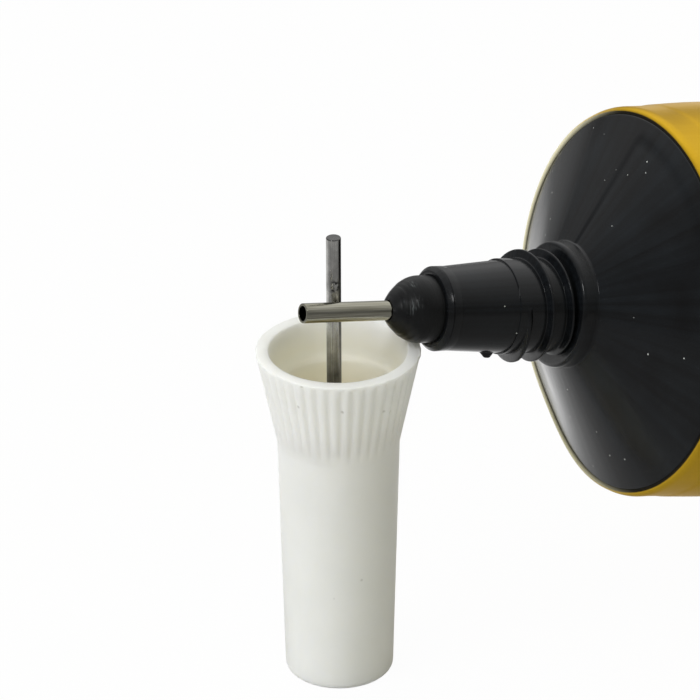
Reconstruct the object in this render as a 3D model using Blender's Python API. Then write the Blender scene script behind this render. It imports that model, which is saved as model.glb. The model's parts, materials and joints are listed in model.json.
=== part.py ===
"""Glue tube with a needle nozzle, lying with its nozzle on its own upturned cap.

Metres, +Z up. The tube's axis lies in the XZ plane and runs from the needle's tip towards +X. The tail's
crimp touches the ground, and the plug in the neck rests on the rim of the cap. The origin is on the ground,
under the middle of the whole assembly.
"""
import math

import bmesh
import bpy

for item in list(bpy.data.objects):
    bpy.data.objects.remove(item)

# Laminate sleeve
SLEEVE_DIAMETER = 0.035
SLEEVE_LENGTH = 0.155
SLEEVE_WALL = 0.00045
SLEEVE_EDGE_ROUND = 0.0008
SLEEVE_FULLNESS = 1.6
CRIMP_LENGTH = 0.008
CRIMP_BLEND = 0.001
CAVITY_SETBACK = 0.006

# Moulded shoulder and neck
CONE_HEIGHT = 0.005997
CONE_WALL = 0.0014
SKIRT_LENGTH = 0.003
SKIRT_WALL = 0.0011
NECK_BASE_RADIUS = 0.00406
NECK_TAPER = 0.00036
NECK_WALL = 0.00069
NECK_LENGTH = 0.00685
LIP_CHAMFER = 0.0005
THREAD_STEP = 0.00017
THREAD_HEIGHT = 0.00075
THREAD_PITCH = 0.00203
THREAD_TURNS = 2.3
THREAD_LEAD = 0.000876
THREAD_RUN_OUT = 0.3
THREAD_START_ANGLE = math.radians(248.6)
COLLAR_STEP = 0.00065
COLLAR_LENGTH = 0.0015
COLLAR_ROUND = 0.0007

# Barrier insert under the shoulder
INSERT_WALL = 0.0005

# Plug and needle
PLUG_PROUD = 0.00415
PLUG_DOME_LENGTH = 0.0031
PLUG_DOME_FULLNESS = 1.8
PLUG_STEM = 0.006
PLUG_STOP = 0.00056
PLUG_NOSE_LIP = 0.00013
PLUG_FUNNEL_RADIUS = 0.0021
PLUG_FUNNEL_LENGTH = 0.004
NEEDLE_RADIUS = 0.00087
NEEDLE_WALL = 0.00017
NEEDLE_EXPOSED = 0.0084
NEEDLE_TIP_CHAMFER = 0.00005

# Cap and its pin
CAP_THREAD_WALL = 0.00018
CAP_THREAD_TURNS = 2.0
CAP_TAPER = 0.00048
CAP_DRAFT = 0.0004
CAP_FLOOR = 0.0025
CAP_TIP_ROOM = 0.002781
CAP_BASE_ROUND = 0.0006
FLARE_HEIGHT = 0.0093
MOUTH_DEPTH = 0.0032
RIM_WIDTH = 0.00115
RIM_ROUND = 0.00025
FLUTE_COUNT = 40
FLUTE_DEPTH = 0.00018
FLUTE_RIM_BAND = 0.0009
FLUTE_RUN_OUT = 0.0008
PIN_RISE = 0.011
PIN_OFFSET = 0.0004
PIN_EMBEDDED = 0.0017
PIN_CHAMFER = 0.00012

# Clearances
WELD_GAP = 0.00003
PRESS_GAP = 0.00005
FILL_GAP = 0.0003
PIN_CLEARANCE = 0.00005
SCREW_CLEARANCE = 0.00015
BORE_CLEARANCE = 0.0002
MOUTH_CLEARANCE = 0.00046
NEEDLE_PIN_GAP = 0.0005
REST_GAP = 0.0002
HOOK_GAP = 0.00033

# Facets round each kind of piece
TUBE_SIDES = 48
PLUG_SIDES = 40
PIN_SIDES = 24
FACETS_PER_FLUTE = 2
THREAD_ROWS_PER_PITCH = 5
SLEEVE_ROWS = 12
CAVITY_ROWS = 9
CRIMP_EDGE_STEEPNESS = 8
ROUND_STEPS = 3
DOME_STEPS = 6
SHARP_ANGLE = math.radians(32)
SOLVER_STEPS = 40

# Stations along the tube's axis, from the needle's tip
plug_nose = NEEDLE_EXPOSED
neck_face = plug_nose + PLUG_PROUD
plug_back = neck_face + PLUG_STEM
needle_stop = plug_back - PLUG_FUNNEL_LENGTH
thread_start = neck_face + NECK_LENGTH
collar_front = thread_start + THREAD_LEAD + THREAD_TURNS * THREAD_PITCH
cone_top = collar_front + COLLAR_LENGTH
sleeve_front = cone_top + CONE_HEIGHT
skirt_end = sleeve_front + SKIRT_LENGTH
sleeve_end = sleeve_front + SLEEVE_LENGTH
crimp_start = sleeve_end - CRIMP_LENGTH

# Radii of the nozzle, each from its neighbour's
lip_radius = NECK_BASE_RADIUS - NECK_TAPER
neck_bore = lip_radius - NECK_WALL
plug_radius = neck_bore - PRESS_GAP
passage_radius = plug_radius - PLUG_STOP
thread_root = NECK_BASE_RADIUS + THREAD_STEP
thread_crest = thread_root + THREAD_HEIGHT
collar_radius = thread_crest + COLLAR_STEP
needle_bore = NEEDLE_RADIUS - NEEDLE_WALL
needle_seat = NEEDLE_RADIUS + PRESS_GAP
plug_nose_radius = NEEDLE_RADIUS + PLUG_NOSE_LIP

# Radii of the sleeve and of the shoulder welded into it
sleeve_radius = SLEEVE_DIAMETER / 2
sleeve_bore = sleeve_radius - SLEEVE_WALL
shoulder_edge = sleeve_bore - WELD_GAP
skirt_bore = shoulder_edge - SKIRT_WALL
cone_slope = CONE_HEIGHT / (shoulder_edge - collar_radius)
crimp_half = SLEEVE_WALL

# The cap is sized by the nozzle that it covers
mouth_radius = collar_radius + MOUTH_CLEARANCE
rim_radius = mouth_radius + RIM_WIDTH
cap_bore = NECK_BASE_RADIUS + BORE_CLEARANCE
cap_thread_major = thread_crest + SCREW_CLEARANCE
cap_body_radius = cap_thread_major + CAP_THREAD_WALL
cap_base_radius = cap_body_radius - CAP_TAPER
cap_seat = cone_top + MOUTH_CLEARANCE * cone_slope
cap_height = CAP_FLOOR + CAP_TIP_ROOM + cap_seat
pin_radius = needle_bore - PIN_CLEARANCE
pin_top = cap_height + PIN_RISE
pin_bottom = CAP_FLOOR - PIN_EMBEDDED
cap_side = NEEDLE_RADIUS + pin_radius + NEEDLE_PIN_GAP


def ring(z, radius, sides, centre_x=0.0):
    """Points of one turned section; radius is a number or a function of the angle."""
    points = []
    for k in range(sides):
        angle = 2 * math.pi * k / sides
        r = radius(angle) if callable(radius) else radius
        points.append((centre_x + r * math.cos(angle), r * math.sin(angle), z))
    return points


def lofted(name, rings, parent, material, tube=False):
    """One closed solid through a run of rings: capped at both ends, or joined end to end as a tube."""
    bm = bmesh.new()
    loops = [[bm.verts.new(point) for point in section] for section in rings]
    pairs = list(zip(loops, loops[1:]))
    if tube:
        pairs.append((loops[-1], loops[0]))
    else:
        bm.faces.new(loops[0])
        bm.faces.new(loops[-1])
    for first, second in pairs:
        for k in range(len(first)):
            n = (k + 1) % len(first)
            bm.faces.new((first[k], first[n], second[n], second[k]))
    bmesh.ops.recalc_face_normals(bm, faces=bm.faces)
    mesh = bpy.data.meshes.new(name)
    bm.to_mesh(mesh)
    bm.free()
    mesh.shade_smooth()
    mesh.set_sharp_from_angle(angle=SHARP_ANGLE)
    mesh.materials.append(material)
    piece = bpy.data.objects.new(name, mesh)
    piece.parent = parent
    bpy.context.scene.collection.objects.link(piece)
    return piece


def turned(name, outline, sides, parent, material, tube=False):
    """A solid of revolution about the parent's Z axis; the outline holds (z, radius) pairs."""
    return lofted(name, [ring(z, r, sides) for z, r in outline], parent, material, tube)


def principled(name, colour, roughness, metallic=0.0):
    material = bpy.data.materials.new(name)
    material.use_nodes = True
    shader = material.node_tree.nodes["Principled BSDF"]
    shader.inputs["Base Color"].default_value = (*colour, 1.0)
    shader.inputs["Roughness"].default_value = roughness
    shader.inputs["Metallic"].default_value = metallic
    return material


def empty(name, location, rotation):
    axis = bpy.data.objects.new(name, None)
    axis.location = location
    axis.rotation_euler = rotation
    bpy.context.scene.collection.objects.link(axis)
    return axis


def quarter_round(z, radius, dz, dr, steps=ROUND_STEPS):
    """Points of a rounded edge that leaves (z, radius) along the axis and ends at (z + dz, radius + dr)."""
    points = []
    for k in range(steps + 1):
        turn = 0.5 * math.pi * k / steps
        points.append((z + dz * math.sin(turn), radius + dr * (1 - math.cos(turn))))
    return points


def spaced(start, end, count):
    return [start + (end - start) * k / count for k in range(count + 1)]


def thread_lift(angle, z, start, turns):
    """Height share of a right-hand thread at one point, with both ends of the helix run out."""
    share = (angle - THREAD_START_ANGLE) / (2 * math.pi) % 1.0
    along = (z - start) / THREAD_PITCH - share
    turn = round(along)
    helix = turn + share
    ends = min(helix, turns - helix) / THREAD_RUN_OUT
    ridge = 0.5 + 0.5 * math.cos(2 * math.pi * (along - turn))
    return ridge * min(max(ends, 0.0), 1.0)


def thread_rows(start, end):
    """Stations of the rows that carry a thread between two ends."""
    return spaced(start, end, math.ceil((end - start) / THREAD_PITCH * THREAD_ROWS_PER_PITCH))


def half_height(z):
    """Half height of the sleeve's section: round along the shoulder's skirt, then falling to the crimp."""
    share = min(max((z - skirt_end) / (crimp_start - skirt_end), 0.0), 1.0)
    return crimp_half + (sleeve_radius - crimp_half) * (1 - share ** SLEEVE_FULLNESS)


def half_width(height):
    """Half width of an ellipse that has the round sleeve's girth at a given half height."""
    girth = 2 * math.pi * sleeve_radius
    low = sleeve_radius
    high = girth / 4
    for _ in range(SOLVER_STEPS):
        width = 0.5 * (low + high)
        mixed = math.sqrt((3 * height + width) * (height + 3 * width))
        if math.pi * (3 * (height + width) - mixed) < girth:
            low = width
        else:
            high = width
    return low


def sleeve_ring(z, inset=0.0):
    """Oval section of the sleeve, high along X and wide along Y, moved in from the outside by inset."""
    height = half_height(z)
    width = half_width(height) - inset
    points = []
    for k in range(TUBE_SIDES):
        angle = 2 * math.pi * k / TUBE_SIDES
        points.append(((height - inset) * math.cos(angle), width * math.sin(angle), z))
    return points


def crimp_ring(z):
    """Flat section of the crimped tail, with thin side edges."""
    width = half_width(crimp_half)
    points = []
    for k in range(TUBE_SIDES):
        angle = 2 * math.pi * k / TUBE_SIDES
        rise = min(max(CRIMP_EDGE_STEEPNESS * math.cos(angle), -1.0), 1.0)
        points.append((crimp_half * rise, width * math.sin(angle), z))
    return points


def inner_cone(radius):
    """Station of the shoulder's inner cone at a radius."""
    return cone_top + CONE_WALL + (radius - collar_radius) * cone_slope


def rim_station(tilt):
    """Station of the axis right above the cap's rim, which the neck's lip stands just outside."""
    lip_x = neck_face * math.cos(tilt) - neck_bore * math.sin(tilt)
    return (lip_x - HOOK_GAP) / math.cos(tilt)


def resting_tilt():
    """Tilt of the tube with its plug on the cap's rim and the crimp's lower edge on the ground."""
    tilt = 0.0
    for _ in range(SOLVER_STEPS):
        reach = sleeve_end - rim_station(tilt)
        rise = cap_height + REST_GAP + plug_radius / math.cos(tilt) - crimp_half * math.cos(tilt)
        tilt = math.asin(rise / reach)
    return tilt


def tube_sleeve(axis):
    gold = principled("gold_laminate", (0.55, 0.36, 0.04), 0.32, 0.85)
    front = sleeve_front + SLEEVE_EDGE_ROUND
    body = [front] + spaced(skirt_end, crimp_start, SLEEVE_ROWS)
    cavity = [front] + spaced(skirt_end, crimp_start - CAVITY_SETBACK, CAVITY_ROWS)
    rings = [sleeve_ring(z, SLEEVE_WALL) for z in reversed(cavity)]
    rings.append(ring(sleeve_front, sleeve_bore, TUBE_SIDES))
    rounded = quarter_round(front, sleeve_radius, -SLEEVE_EDGE_ROUND, -SLEEVE_WALL)
    rings += [ring(z, r, TUBE_SIDES) for z, r in reversed(rounded[1:-1])]
    rings += [sleeve_ring(z) for z in body]
    rings.append(crimp_ring(crimp_start + CRIMP_BLEND))
    rings.append(crimp_ring(sleeve_end))
    lofted("tube_sleeve", rings, axis, gold)


def shoulder_neck(axis):
    black = principled("black_polyethylene", (0.012, 0.012, 0.012), 0.35)
    helix_start = thread_start + THREAD_LEAD

    def threaded(z):
        return lambda angle: thread_root + THREAD_HEIGHT * thread_lift(angle, z, helix_start, THREAD_TURNS)

    collar_edge = quarter_round(collar_front + COLLAR_ROUND, collar_radius, -COLLAR_ROUND, -COLLAR_ROUND)
    outline = [(neck_face, neck_bore)]
    outline.append((neck_face, lip_radius - LIP_CHAMFER))
    outline.append((neck_face + LIP_CHAMFER, lip_radius))
    outline.append((thread_start, NECK_BASE_RADIUS))
    outline += [(z, threaded(z)) for z in thread_rows(thread_start, collar_front)[1:]]
    outline += list(reversed(collar_edge))
    outline.append((cone_top, collar_radius))
    outline.append((sleeve_front, shoulder_edge))
    outline.append((skirt_end, shoulder_edge))
    outline.append((skirt_end, skirt_bore))
    outline.append((inner_cone(skirt_bore), skirt_bore))
    outline.append((inner_cone(passage_radius), passage_radius))
    outline.append((plug_back + PRESS_GAP, passage_radius))
    outline.append((plug_back + PRESS_GAP, neck_bore))
    turned("shoulder_neck", outline, TUBE_SIDES, axis, black, tube=True)


def barrier_insert(axis):
    liner = principled("natural_polyester", (0.62, 0.60, 0.52), 0.4)
    outer = skirt_bore - PRESS_GAP
    back = PRESS_GAP + INSERT_WALL
    outline = [(inner_cone(passage_radius) + PRESS_GAP, passage_radius)]
    outline.append((inner_cone(outer) + PRESS_GAP, outer))
    outline.append((inner_cone(outer) + back, outer))
    outline.append((inner_cone(passage_radius) + back, passage_radius))
    turned("barrier_insert", outline, TUBE_SIDES, axis, liner, tube=True)


def adhesive_fill(axis):
    amber = principled("amber_adhesive", (0.45, 0.28, 0.07), 0.15)
    behind_insert = PRESS_GAP + INSERT_WALL + FILL_GAP
    wide = skirt_bore - FILL_GAP
    rings = [ring(inner_cone(passage_radius) + behind_insert, passage_radius, TUBE_SIDES)]
    rings.append(ring(inner_cone(wide) + behind_insert, wide, TUBE_SIDES))
    rings.append(ring(skirt_end, wide, TUBE_SIDES))
    body = spaced(skirt_end + FILL_GAP, crimp_start - CAVITY_SETBACK - FILL_GAP, CAVITY_ROWS)
    rings += [sleeve_ring(z, SLEEVE_WALL + FILL_GAP) for z in body]
    lofted("adhesive_fill", rings, axis, amber)


def nozzle_plug(axis):
    black = principled("black_polypropylene", (0.015, 0.015, 0.015), 0.42)
    outline = [(plug_nose, needle_seat)]
    for share in spaced(0.0, 1.0, DOME_STEPS):
        rise = (plug_radius - plug_nose_radius) * (1 - (1 - share) ** PLUG_DOME_FULLNESS)
        outline.append((plug_nose + PLUG_DOME_LENGTH * share, plug_nose_radius + rise))
    outline.append((plug_back, plug_radius))
    outline.append((plug_back, PLUG_FUNNEL_RADIUS))
    outline.append((needle_stop, needle_bore))
    outline.append((needle_stop - PRESS_GAP, needle_bore))
    outline.append((needle_stop - PRESS_GAP, needle_seat))
    turned("nozzle_plug", outline, PLUG_SIDES, axis, black, tube=True)


def dosing_needle(axis):
    steel = principled("stainless_needle", (0.55, 0.54, 0.50), 0.25, 1.0)
    back = needle_stop - 2 * PRESS_GAP
    outline = [(0.0, needle_bore)]
    outline.append((0.0, NEEDLE_RADIUS - NEEDLE_TIP_CHAMFER))
    outline.append((NEEDLE_TIP_CHAMFER, NEEDLE_RADIUS))
    outline.append((back, NEEDLE_RADIUS))
    outline.append((back, needle_bore))
    turned("dosing_needle", outline, PIN_SIDES, axis, steel, tube=True)


def cap(base):
    white = principled("white_polyethylene", (0.78, 0.78, 0.74), 0.42)
    sides = FLUTE_COUNT * FACETS_PER_FLUTE
    flare_bottom = cap_height - FLARE_HEIGHT
    flute_bottom = flare_bottom - FLUTE_RUN_OUT
    flute_top = cap_height - FLUTE_RIM_BAND
    thread_top = cap_height - MOUTH_DEPTH
    thread_bottom = thread_top - CAP_THREAD_TURNS * THREAD_PITCH
    ledge_radius = collar_radius + SCREW_CLEARANCE
    ledge = thread_top + (ledge_radius - cap_thread_major)
    throat = plug_radius + BORE_CLEARANCE

    def body_radius(z):
        return cap_base_radius + CAP_TAPER * z / flare_bottom

    def flare_radius(z):
        share = (z - flare_bottom) / FLARE_HEIGHT
        return cap_body_radius + (rim_radius - cap_body_radius) * share

    def fluted(z):
        return lambda angle: flare_radius(z) - FLUTE_DEPTH * (0.5 + 0.5 * math.cos(FLUTE_COUNT * angle))

    def threaded(z):
        def radius(angle):
            lift = thread_lift(angle, z, thread_bottom, CAP_THREAD_TURNS)
            return cap_thread_major - THREAD_HEIGHT * lift
        return radius

    base_round = quarter_round(CAP_BASE_ROUND, cap_base_radius, -CAP_BASE_ROUND, -CAP_BASE_ROUND)
    rim_outer = quarter_round(cap_height - RIM_ROUND, rim_radius, RIM_ROUND, -RIM_ROUND)
    rim_inner = quarter_round(cap_height - RIM_ROUND, mouth_radius, RIM_ROUND, RIM_ROUND)

    outline = list(reversed(base_round))
    outline.append((flute_bottom, body_radius(flute_bottom)))
    outline.append((flare_bottom, fluted(flare_bottom)))
    outline.append((flute_top - FLUTE_RUN_OUT, fluted(flute_top - FLUTE_RUN_OUT)))
    outline.append((flute_top, flare_radius(flute_top)))
    outline += rim_outer
    outline += list(reversed(rim_inner))
    outline.append((ledge, ledge_radius))
    outline.append((thread_top, cap_thread_major))
    outline += [(z, threaded(z)) for z in reversed(thread_rows(thread_bottom, thread_top)[1:-1])]
    outline.append((thread_bottom, cap_thread_major))
    outline.append((thread_bottom - (cap_thread_major - cap_bore), cap_bore))
    outline.append((cap_height - cap_seat + neck_face, cap_bore - CAP_DRAFT))
    outline.append((cap_height - cap_seat + plug_nose, throat))
    outline.append((CAP_FLOOR, throat - CAP_DRAFT))

    rings = [ring(z, r, sides) for z, r in outline]
    rings.append(ring(CAP_FLOOR, pin_radius + PRESS_GAP, sides, -PIN_OFFSET))
    rings.append(ring(pin_bottom - PRESS_GAP, pin_radius + PRESS_GAP, sides, -PIN_OFFSET))
    lofted("cap", rings, base, white)


def cap_pin(base):
    steel = principled("steel_pin", (0.30, 0.29, 0.27), 0.38, 1.0)
    outline = [(pin_bottom, pin_radius), (pin_top - PIN_CHAMFER, pin_radius)]
    outline.append((pin_top, pin_radius - PIN_CHAMFER))
    rings = [ring(z, r, PIN_SIDES, -PIN_OFFSET) for z, r in outline]
    lofted("cap_pin", rings, base, steel)


# Where everything lies: the tip's height and the cap's place come from the resting tilt
tilt = resting_tilt()
rim_x = rim_station(tilt) * math.cos(tilt)
tip_height = sleeve_end * math.sin(tilt) + crimp_half * math.cos(tilt)
cap_x = rim_x - math.sqrt(rim_radius ** 2 - cap_side ** 2)
near_x = min(cap_x - rim_radius, -NEEDLE_RADIUS * math.sin(tilt))
far_x = sleeve_end * math.cos(tilt) + crimp_half * math.sin(tilt)
middle_x = 0.5 * (near_x + far_x)

tube_axis = empty("tube_axis", (-middle_x, 0.0, tip_height), (0.0, 0.5 * math.pi + tilt, 0.0))
cap_base = empty("cap_base", (cap_x - middle_x, cap_side, 0.0), (0.0, 0.0, 0.0))

tube_sleeve(tube_axis)
shoulder_neck(tube_axis)
barrier_insert(tube_axis)
adhesive_fill(tube_axis)
nozzle_plug(tube_axis)
dosing_needle(tube_axis)
cap(cap_base)
cap_pin(cap_base)
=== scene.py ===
import json
import math

import bmesh
import bpy
from mathutils import Matrix, Vector, noise


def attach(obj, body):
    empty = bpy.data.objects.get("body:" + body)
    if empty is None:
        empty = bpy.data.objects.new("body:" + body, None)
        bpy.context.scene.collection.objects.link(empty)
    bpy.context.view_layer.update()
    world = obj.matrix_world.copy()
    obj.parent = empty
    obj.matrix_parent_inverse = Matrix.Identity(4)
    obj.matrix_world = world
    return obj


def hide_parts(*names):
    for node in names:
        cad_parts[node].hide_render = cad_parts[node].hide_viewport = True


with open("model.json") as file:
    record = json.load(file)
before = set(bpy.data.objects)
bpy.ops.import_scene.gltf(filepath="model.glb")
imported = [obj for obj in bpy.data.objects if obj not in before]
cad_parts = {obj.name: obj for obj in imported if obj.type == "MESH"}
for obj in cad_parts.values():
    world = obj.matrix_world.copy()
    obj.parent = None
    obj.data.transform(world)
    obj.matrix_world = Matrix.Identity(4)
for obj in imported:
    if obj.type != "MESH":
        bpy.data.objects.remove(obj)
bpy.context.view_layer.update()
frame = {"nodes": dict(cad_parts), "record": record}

# Shoulder and neck
# One injection moulding in black polyethylene closes the front of the tube: a shallow cone welded inside the
# sleeve's edge, a collar, a coarse screw thread and a tapered neck. Stations run from the needle's tip to the
# tail, and the tube's place comes from the crimp's mount.
MM = 0.001
CRIMP_MOUNT_STATION = 183.942 * MM
CRIMP_HALF = 0.45 * MM
CLOSE = 0.01 * MM
NECK_FACE = 12.55 * MM
NECK_BORE = 3.01 * MM
NECK_TOP_RADIUS = 3.69 * MM
NECK_BASE_RADIUS = 4.09 * MM
NECK_FOOT_ROUND = 0.05 * MM
NECK_ROW = 0.15 * MM
LIP_RADIUS = 3.72 * MM
LIP_CHAMFER = 0.38 * MM
LIP_END = 13.85 * MM
LIP_ROUND = 0.03 * MM
GROOVE_STATIONS = (0.04 * MM, 0.08 * MM, 0.14 * MM)
GROOVE_DEPTH = 0.07 * MM
GROOVE_ROUND = 0.02 * MM
THREAD_START = 19.4 * MM
THREAD_MARGIN = 0.2 * MM
THREAD_ROOT = 4.23 * MM
ROOT_ROUND = 0.06 * MM
ROOT_RUN = 0.15 * MM
THREAD_HEIGHT = 0.75 * MM
THREAD_PITCH = 2.03 * MM
THREAD_CREST = 0.07 * MM
THREAD_FLANK = 0.22 * MM
THREAD_LEAD = 0.876 * MM
THREAD_TURNS = 2.3
THREAD_RUN_OUT = 0.2
THREAD_ANGLE = math.radians(248.6)
THREAD_ROW = 0.03 * MM
COLLAR_FRONT = 24.945 * MM
COLLAR_RADIUS = 5.63 * MM
COLLAR_ROUND = 0.45 * MM
CONE_TOP = 26.445 * MM
CONE_EDGE = 16.78 * MM
CONE_ROUND = 0.12 * MM
CONE_MARGINS = (0.15 * MM, 0.2 * MM)
CONE_ROW = 0.4 * MM
CONE_WALL = 1.4 * MM
SHOULDER_EDGE = 17.02 * MM
SLEEVE_FRONT = 32.442 * MM
SKIRT_SETBACK = 0.12 * MM
SKIRT_END = 35.442 * MM
SKIRT_BORE = 15.92 * MM
SKIRT_ROUND = 0.1 * MM
CONE_CORNER = 0.3 * MM
PASSAGE_RADIUS = 2.4 * MM
PASSAGE_CORNER = 0.2 * MM
PLUG_BACK = 18.6 * MM
PLUG_SEAT_ROUND = 0.05 * MM
PANEL_START = math.radians(174)
PANEL_SPAN = math.radians(150)
PANEL_INNER = 5.0 * MM
PANEL_OUTER = 15.5 * MM
PANEL_DEPTH = 0.14 * MM
PANEL_EDGE = 0.3 * MM
GATE_STATION = 18.25 * MM
GATE_ANGLE = math.radians(-24)
GATE_SIZE = 0.45 * MM
GATE_TOP = 0.25 * GATE_SIZE
GATE_HEIGHT = 0.48 * MM
GATE_STRETCH = 0.6
SAG_SIDE = math.radians(30)
SAG_SPREAD = math.radians(26)
SAG_DEPTH = 1.15 * MM
SAG_FADE = (0.5 * MM, 0.2 * MM)
SHOULDER_SIDES = 280
SHOULDER_SHARP = math.radians(78)

mounts = {mount["name"]: mount for mount in frame["record"]["mounts"]}
crimp_normal = Vector(mounts["crimp_top"]["axis"]).normalized()
tube_tilt = math.atan2(crimp_normal.x, crimp_normal.z)
tube_direction = Vector((math.cos(tube_tilt), 0.0, -math.sin(tube_tilt)))
needle_tip = (Vector(mounts["crimp_top"]["pos_m"]) - CRIMP_MOUNT_STATION * tube_direction
              - CRIMP_HALF * crimp_normal)
tube_place = Matrix.Translation(needle_tip) @ Matrix.Rotation(0.5 * math.pi + tube_tilt, 4, "Y")


def spaced(start, end, step):
    """Evenly spaced values from start to end, no further apart than step."""
    count = math.ceil(abs(end - start) / step)
    return [start + (end - start) * k / count for k in range(count + 1)]


def smooth(low, high, value):
    """0 below low, 1 above high, and a smooth rise between them."""
    share = min(max((value - low) / (high - low), 0.0), 1.0)
    return share * share * (3 - 2 * share)


def pushed(point, lift):
    """A point moved away from the turning axis by lift."""
    x, y, z = point
    share = 1 + lift / max(math.hypot(x, y), CLOSE)
    return Vector((x * share, y * share, z))


def filleted(corners, steps=5):
    """(z, radius) points along corners given as (z, radius, fillet), each corner eased by its fillet."""
    points = []
    for k, (z, radius, fillet) in enumerate(corners):
        here = Vector((z, radius))
        back = Vector(corners[k - 1][:2]) - here
        ahead = Vector(corners[(k + 1) % len(corners)][:2]) - here
        if not fillet:
            points.append(here)
            continue
        first = here + back.normalized() * min(fillet, 0.5 * back.length)
        last = here + ahead.normalized() * min(fillet, 0.5 * ahead.length)
        for step in range(steps + 1):
            t = step / steps
            points.append(first * (1 - t) ** 2 + here * 2 * t * (1 - t) + last * t * t)
    return [tuple(point) for point in points]


def turned(name, outline, sides, mask=None, centre_x=0.0):
    """Closed mesh turned about local Z through (z, radius) points. Points on the axis become poles, and an
    outline that misses the axis closes on itself. The mask gives each row a weight for the node trees."""
    points = []
    faces = []
    rows = []
    weights = []
    for z, radius in outline:
        count = sides if radius > 0 else 1
        rows.append(range(len(points), len(points) + count))
        weights += [mask(z, radius) if mask else 0.0] * count
        for k in range(count):
            angle = 2 * math.pi * k / sides
            points.append((centre_x + radius * math.cos(angle), radius * math.sin(angle), z))
    pairs = list(zip(rows, rows[1:]))
    if len(rows[0]) > 1:
        pairs.append((rows[-1], rows[0]))
    for near, far in pairs:
        for k in range(sides):
            n = k + 1
            corners = (near[k % len(near)], near[n % sides % len(near)],
                       far[n % sides % len(far)], far[k % len(far)])
            faces.append(tuple(dict.fromkeys(corners)))
    mesh = bpy.data.meshes.new(name)
    mesh.from_pydata(points, [], faces)
    if mask:
        mesh.attributes.new("mask", "FLOAT", "POINT").data.foreach_set("value", weights)
    return mesh


def faced_out(mesh):
    """Turns every face of a closed mesh outwards."""
    bm = bmesh.new()
    bm.from_mesh(mesh)
    bmesh.ops.recalc_face_normals(bm, faces=bm.faces)
    bm.to_mesh(mesh)
    bm.free()


def placed(name, mesh, place, material, sharp=math.radians(38)):
    """A finished piece at the origin, with its place in its mesh."""
    mesh.transform(place)
    faced_out(mesh)
    mesh.shade_smooth()
    mesh.set_sharp_from_angle(angle=sharp)
    mesh.materials.clear()
    mesh.materials.append(material)
    piece = bpy.data.objects.new(name, mesh)
    bpy.context.scene.collection.objects.link(piece)
    return piece


def wire(tree, node, links):
    """Sets a node's inputs, by name or number, to values or to the outputs of other nodes."""
    for key, value in links.items():
        if isinstance(key, int):
            socket = node.inputs[key]
        else:
            socket = next(s for s in node.inputs if s.enabled and s.name == key)
        if isinstance(value, bpy.types.Node):
            value = next(s for s in value.outputs if s.enabled)
        if isinstance(value, bpy.types.NodeSocket):
            tree.links.new(value, socket)
        else:
            socket.default_value = value


def add(tree, kind, links=None, **settings):
    """Adds a node to a tree, with its settings and links."""
    node = tree.nodes.new(kind)
    for key, value in settings.items():
        setattr(node, key, value)
    wire(tree, node, links or {})
    return node


def linear(code):
    """Linear colour of an sRGB hex value."""
    parts = [int(code[k:k + 2], 16) / 255 for k in (0, 2, 4)]
    return tuple(p / 12.92 if p <= 0.04045 else ((p + 0.055) / 1.055) ** 2.4 for p in parts) + (1.0,)


def finish_of(name, place):
    """A new material with its tree, its shader and the coordinates of the piece's own axis, in metres."""
    material = bpy.data.materials.new(name)
    material.use_nodes = True
    tree = material.node_tree
    seat = add(tree, "ShaderNodeTexCoord")
    own = add(tree, "ShaderNodeMapping", {
        "Vector": seat.outputs["Object"],
        "Location": place.to_translation(),
        "Rotation": place.to_euler(),
    }, vector_type="TEXTURE")
    return material, tree, tree.nodes["Principled BSDF"], own


def sized_tree(name, sizes):
    """An empty tree of geometry nodes with a blank, named sizes and a material coming in."""
    tree = bpy.data.node_groups.new(name, "GeometryNodeTree")
    tree.interface.new_socket("Geometry", in_out="OUTPUT", socket_type="NodeSocketGeometry")
    tree.interface.new_socket("Blank", in_out="INPUT", socket_type="NodeSocketGeometry")
    for size in sizes:
        tree.interface.new_socket(size, in_out="INPUT", socket_type="NodeSocketFloat")
    tree.interface.new_socket("Material", in_out="INPUT", socket_type="NodeSocketMaterial")
    return tree, add(tree, "NodeGroupInput").outputs


def ended(tree, geometry, given):
    """Ends a tree: plain mesh, dressed in its material."""
    plain = add(tree, "GeometryNodeRealizeInstances", {"Geometry": geometry})
    dressed = add(tree, "GeometryNodeSetMaterial", {"Geometry": plain, "Material": given["Material"]})
    add(tree, "NodeGroupOutput", {"Geometry": dressed})


def about_axis(tree, start):
    """The place of a blank's points, and their turn about its axis from a start angle."""
    spot = add(tree, "ShaderNodeSeparateXYZ", {"Vector": add(tree, "GeometryNodeInputPosition")}).outputs
    turn = add(tree, "ShaderNodeMath", {0: spot["Y"], 1: spot["X"]}, operation="ARCTAN2")
    return spot, add(tree, "ShaderNodeMath", {0: turn, 1: start}, operation="SUBTRACT")


def ended_pushed(tree, given, spot, lift):
    """Ends a tree whose points move away from the blank's axis by lift."""
    outward = add(tree, "ShaderNodeCombineXYZ", {"X": spot["X"], "Y": spot["Y"]})
    outward = add(tree, "ShaderNodeVectorMath", {0: outward}, operation="NORMALIZE")
    outward = add(tree, "ShaderNodeVectorMath", {0: outward, "Scale": lift}, operation="SCALE")
    moved = add(tree, "GeometryNodeSetPosition", {"Geometry": given["Blank"], "Offset": outward})
    ended(tree, moved, given)


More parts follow.
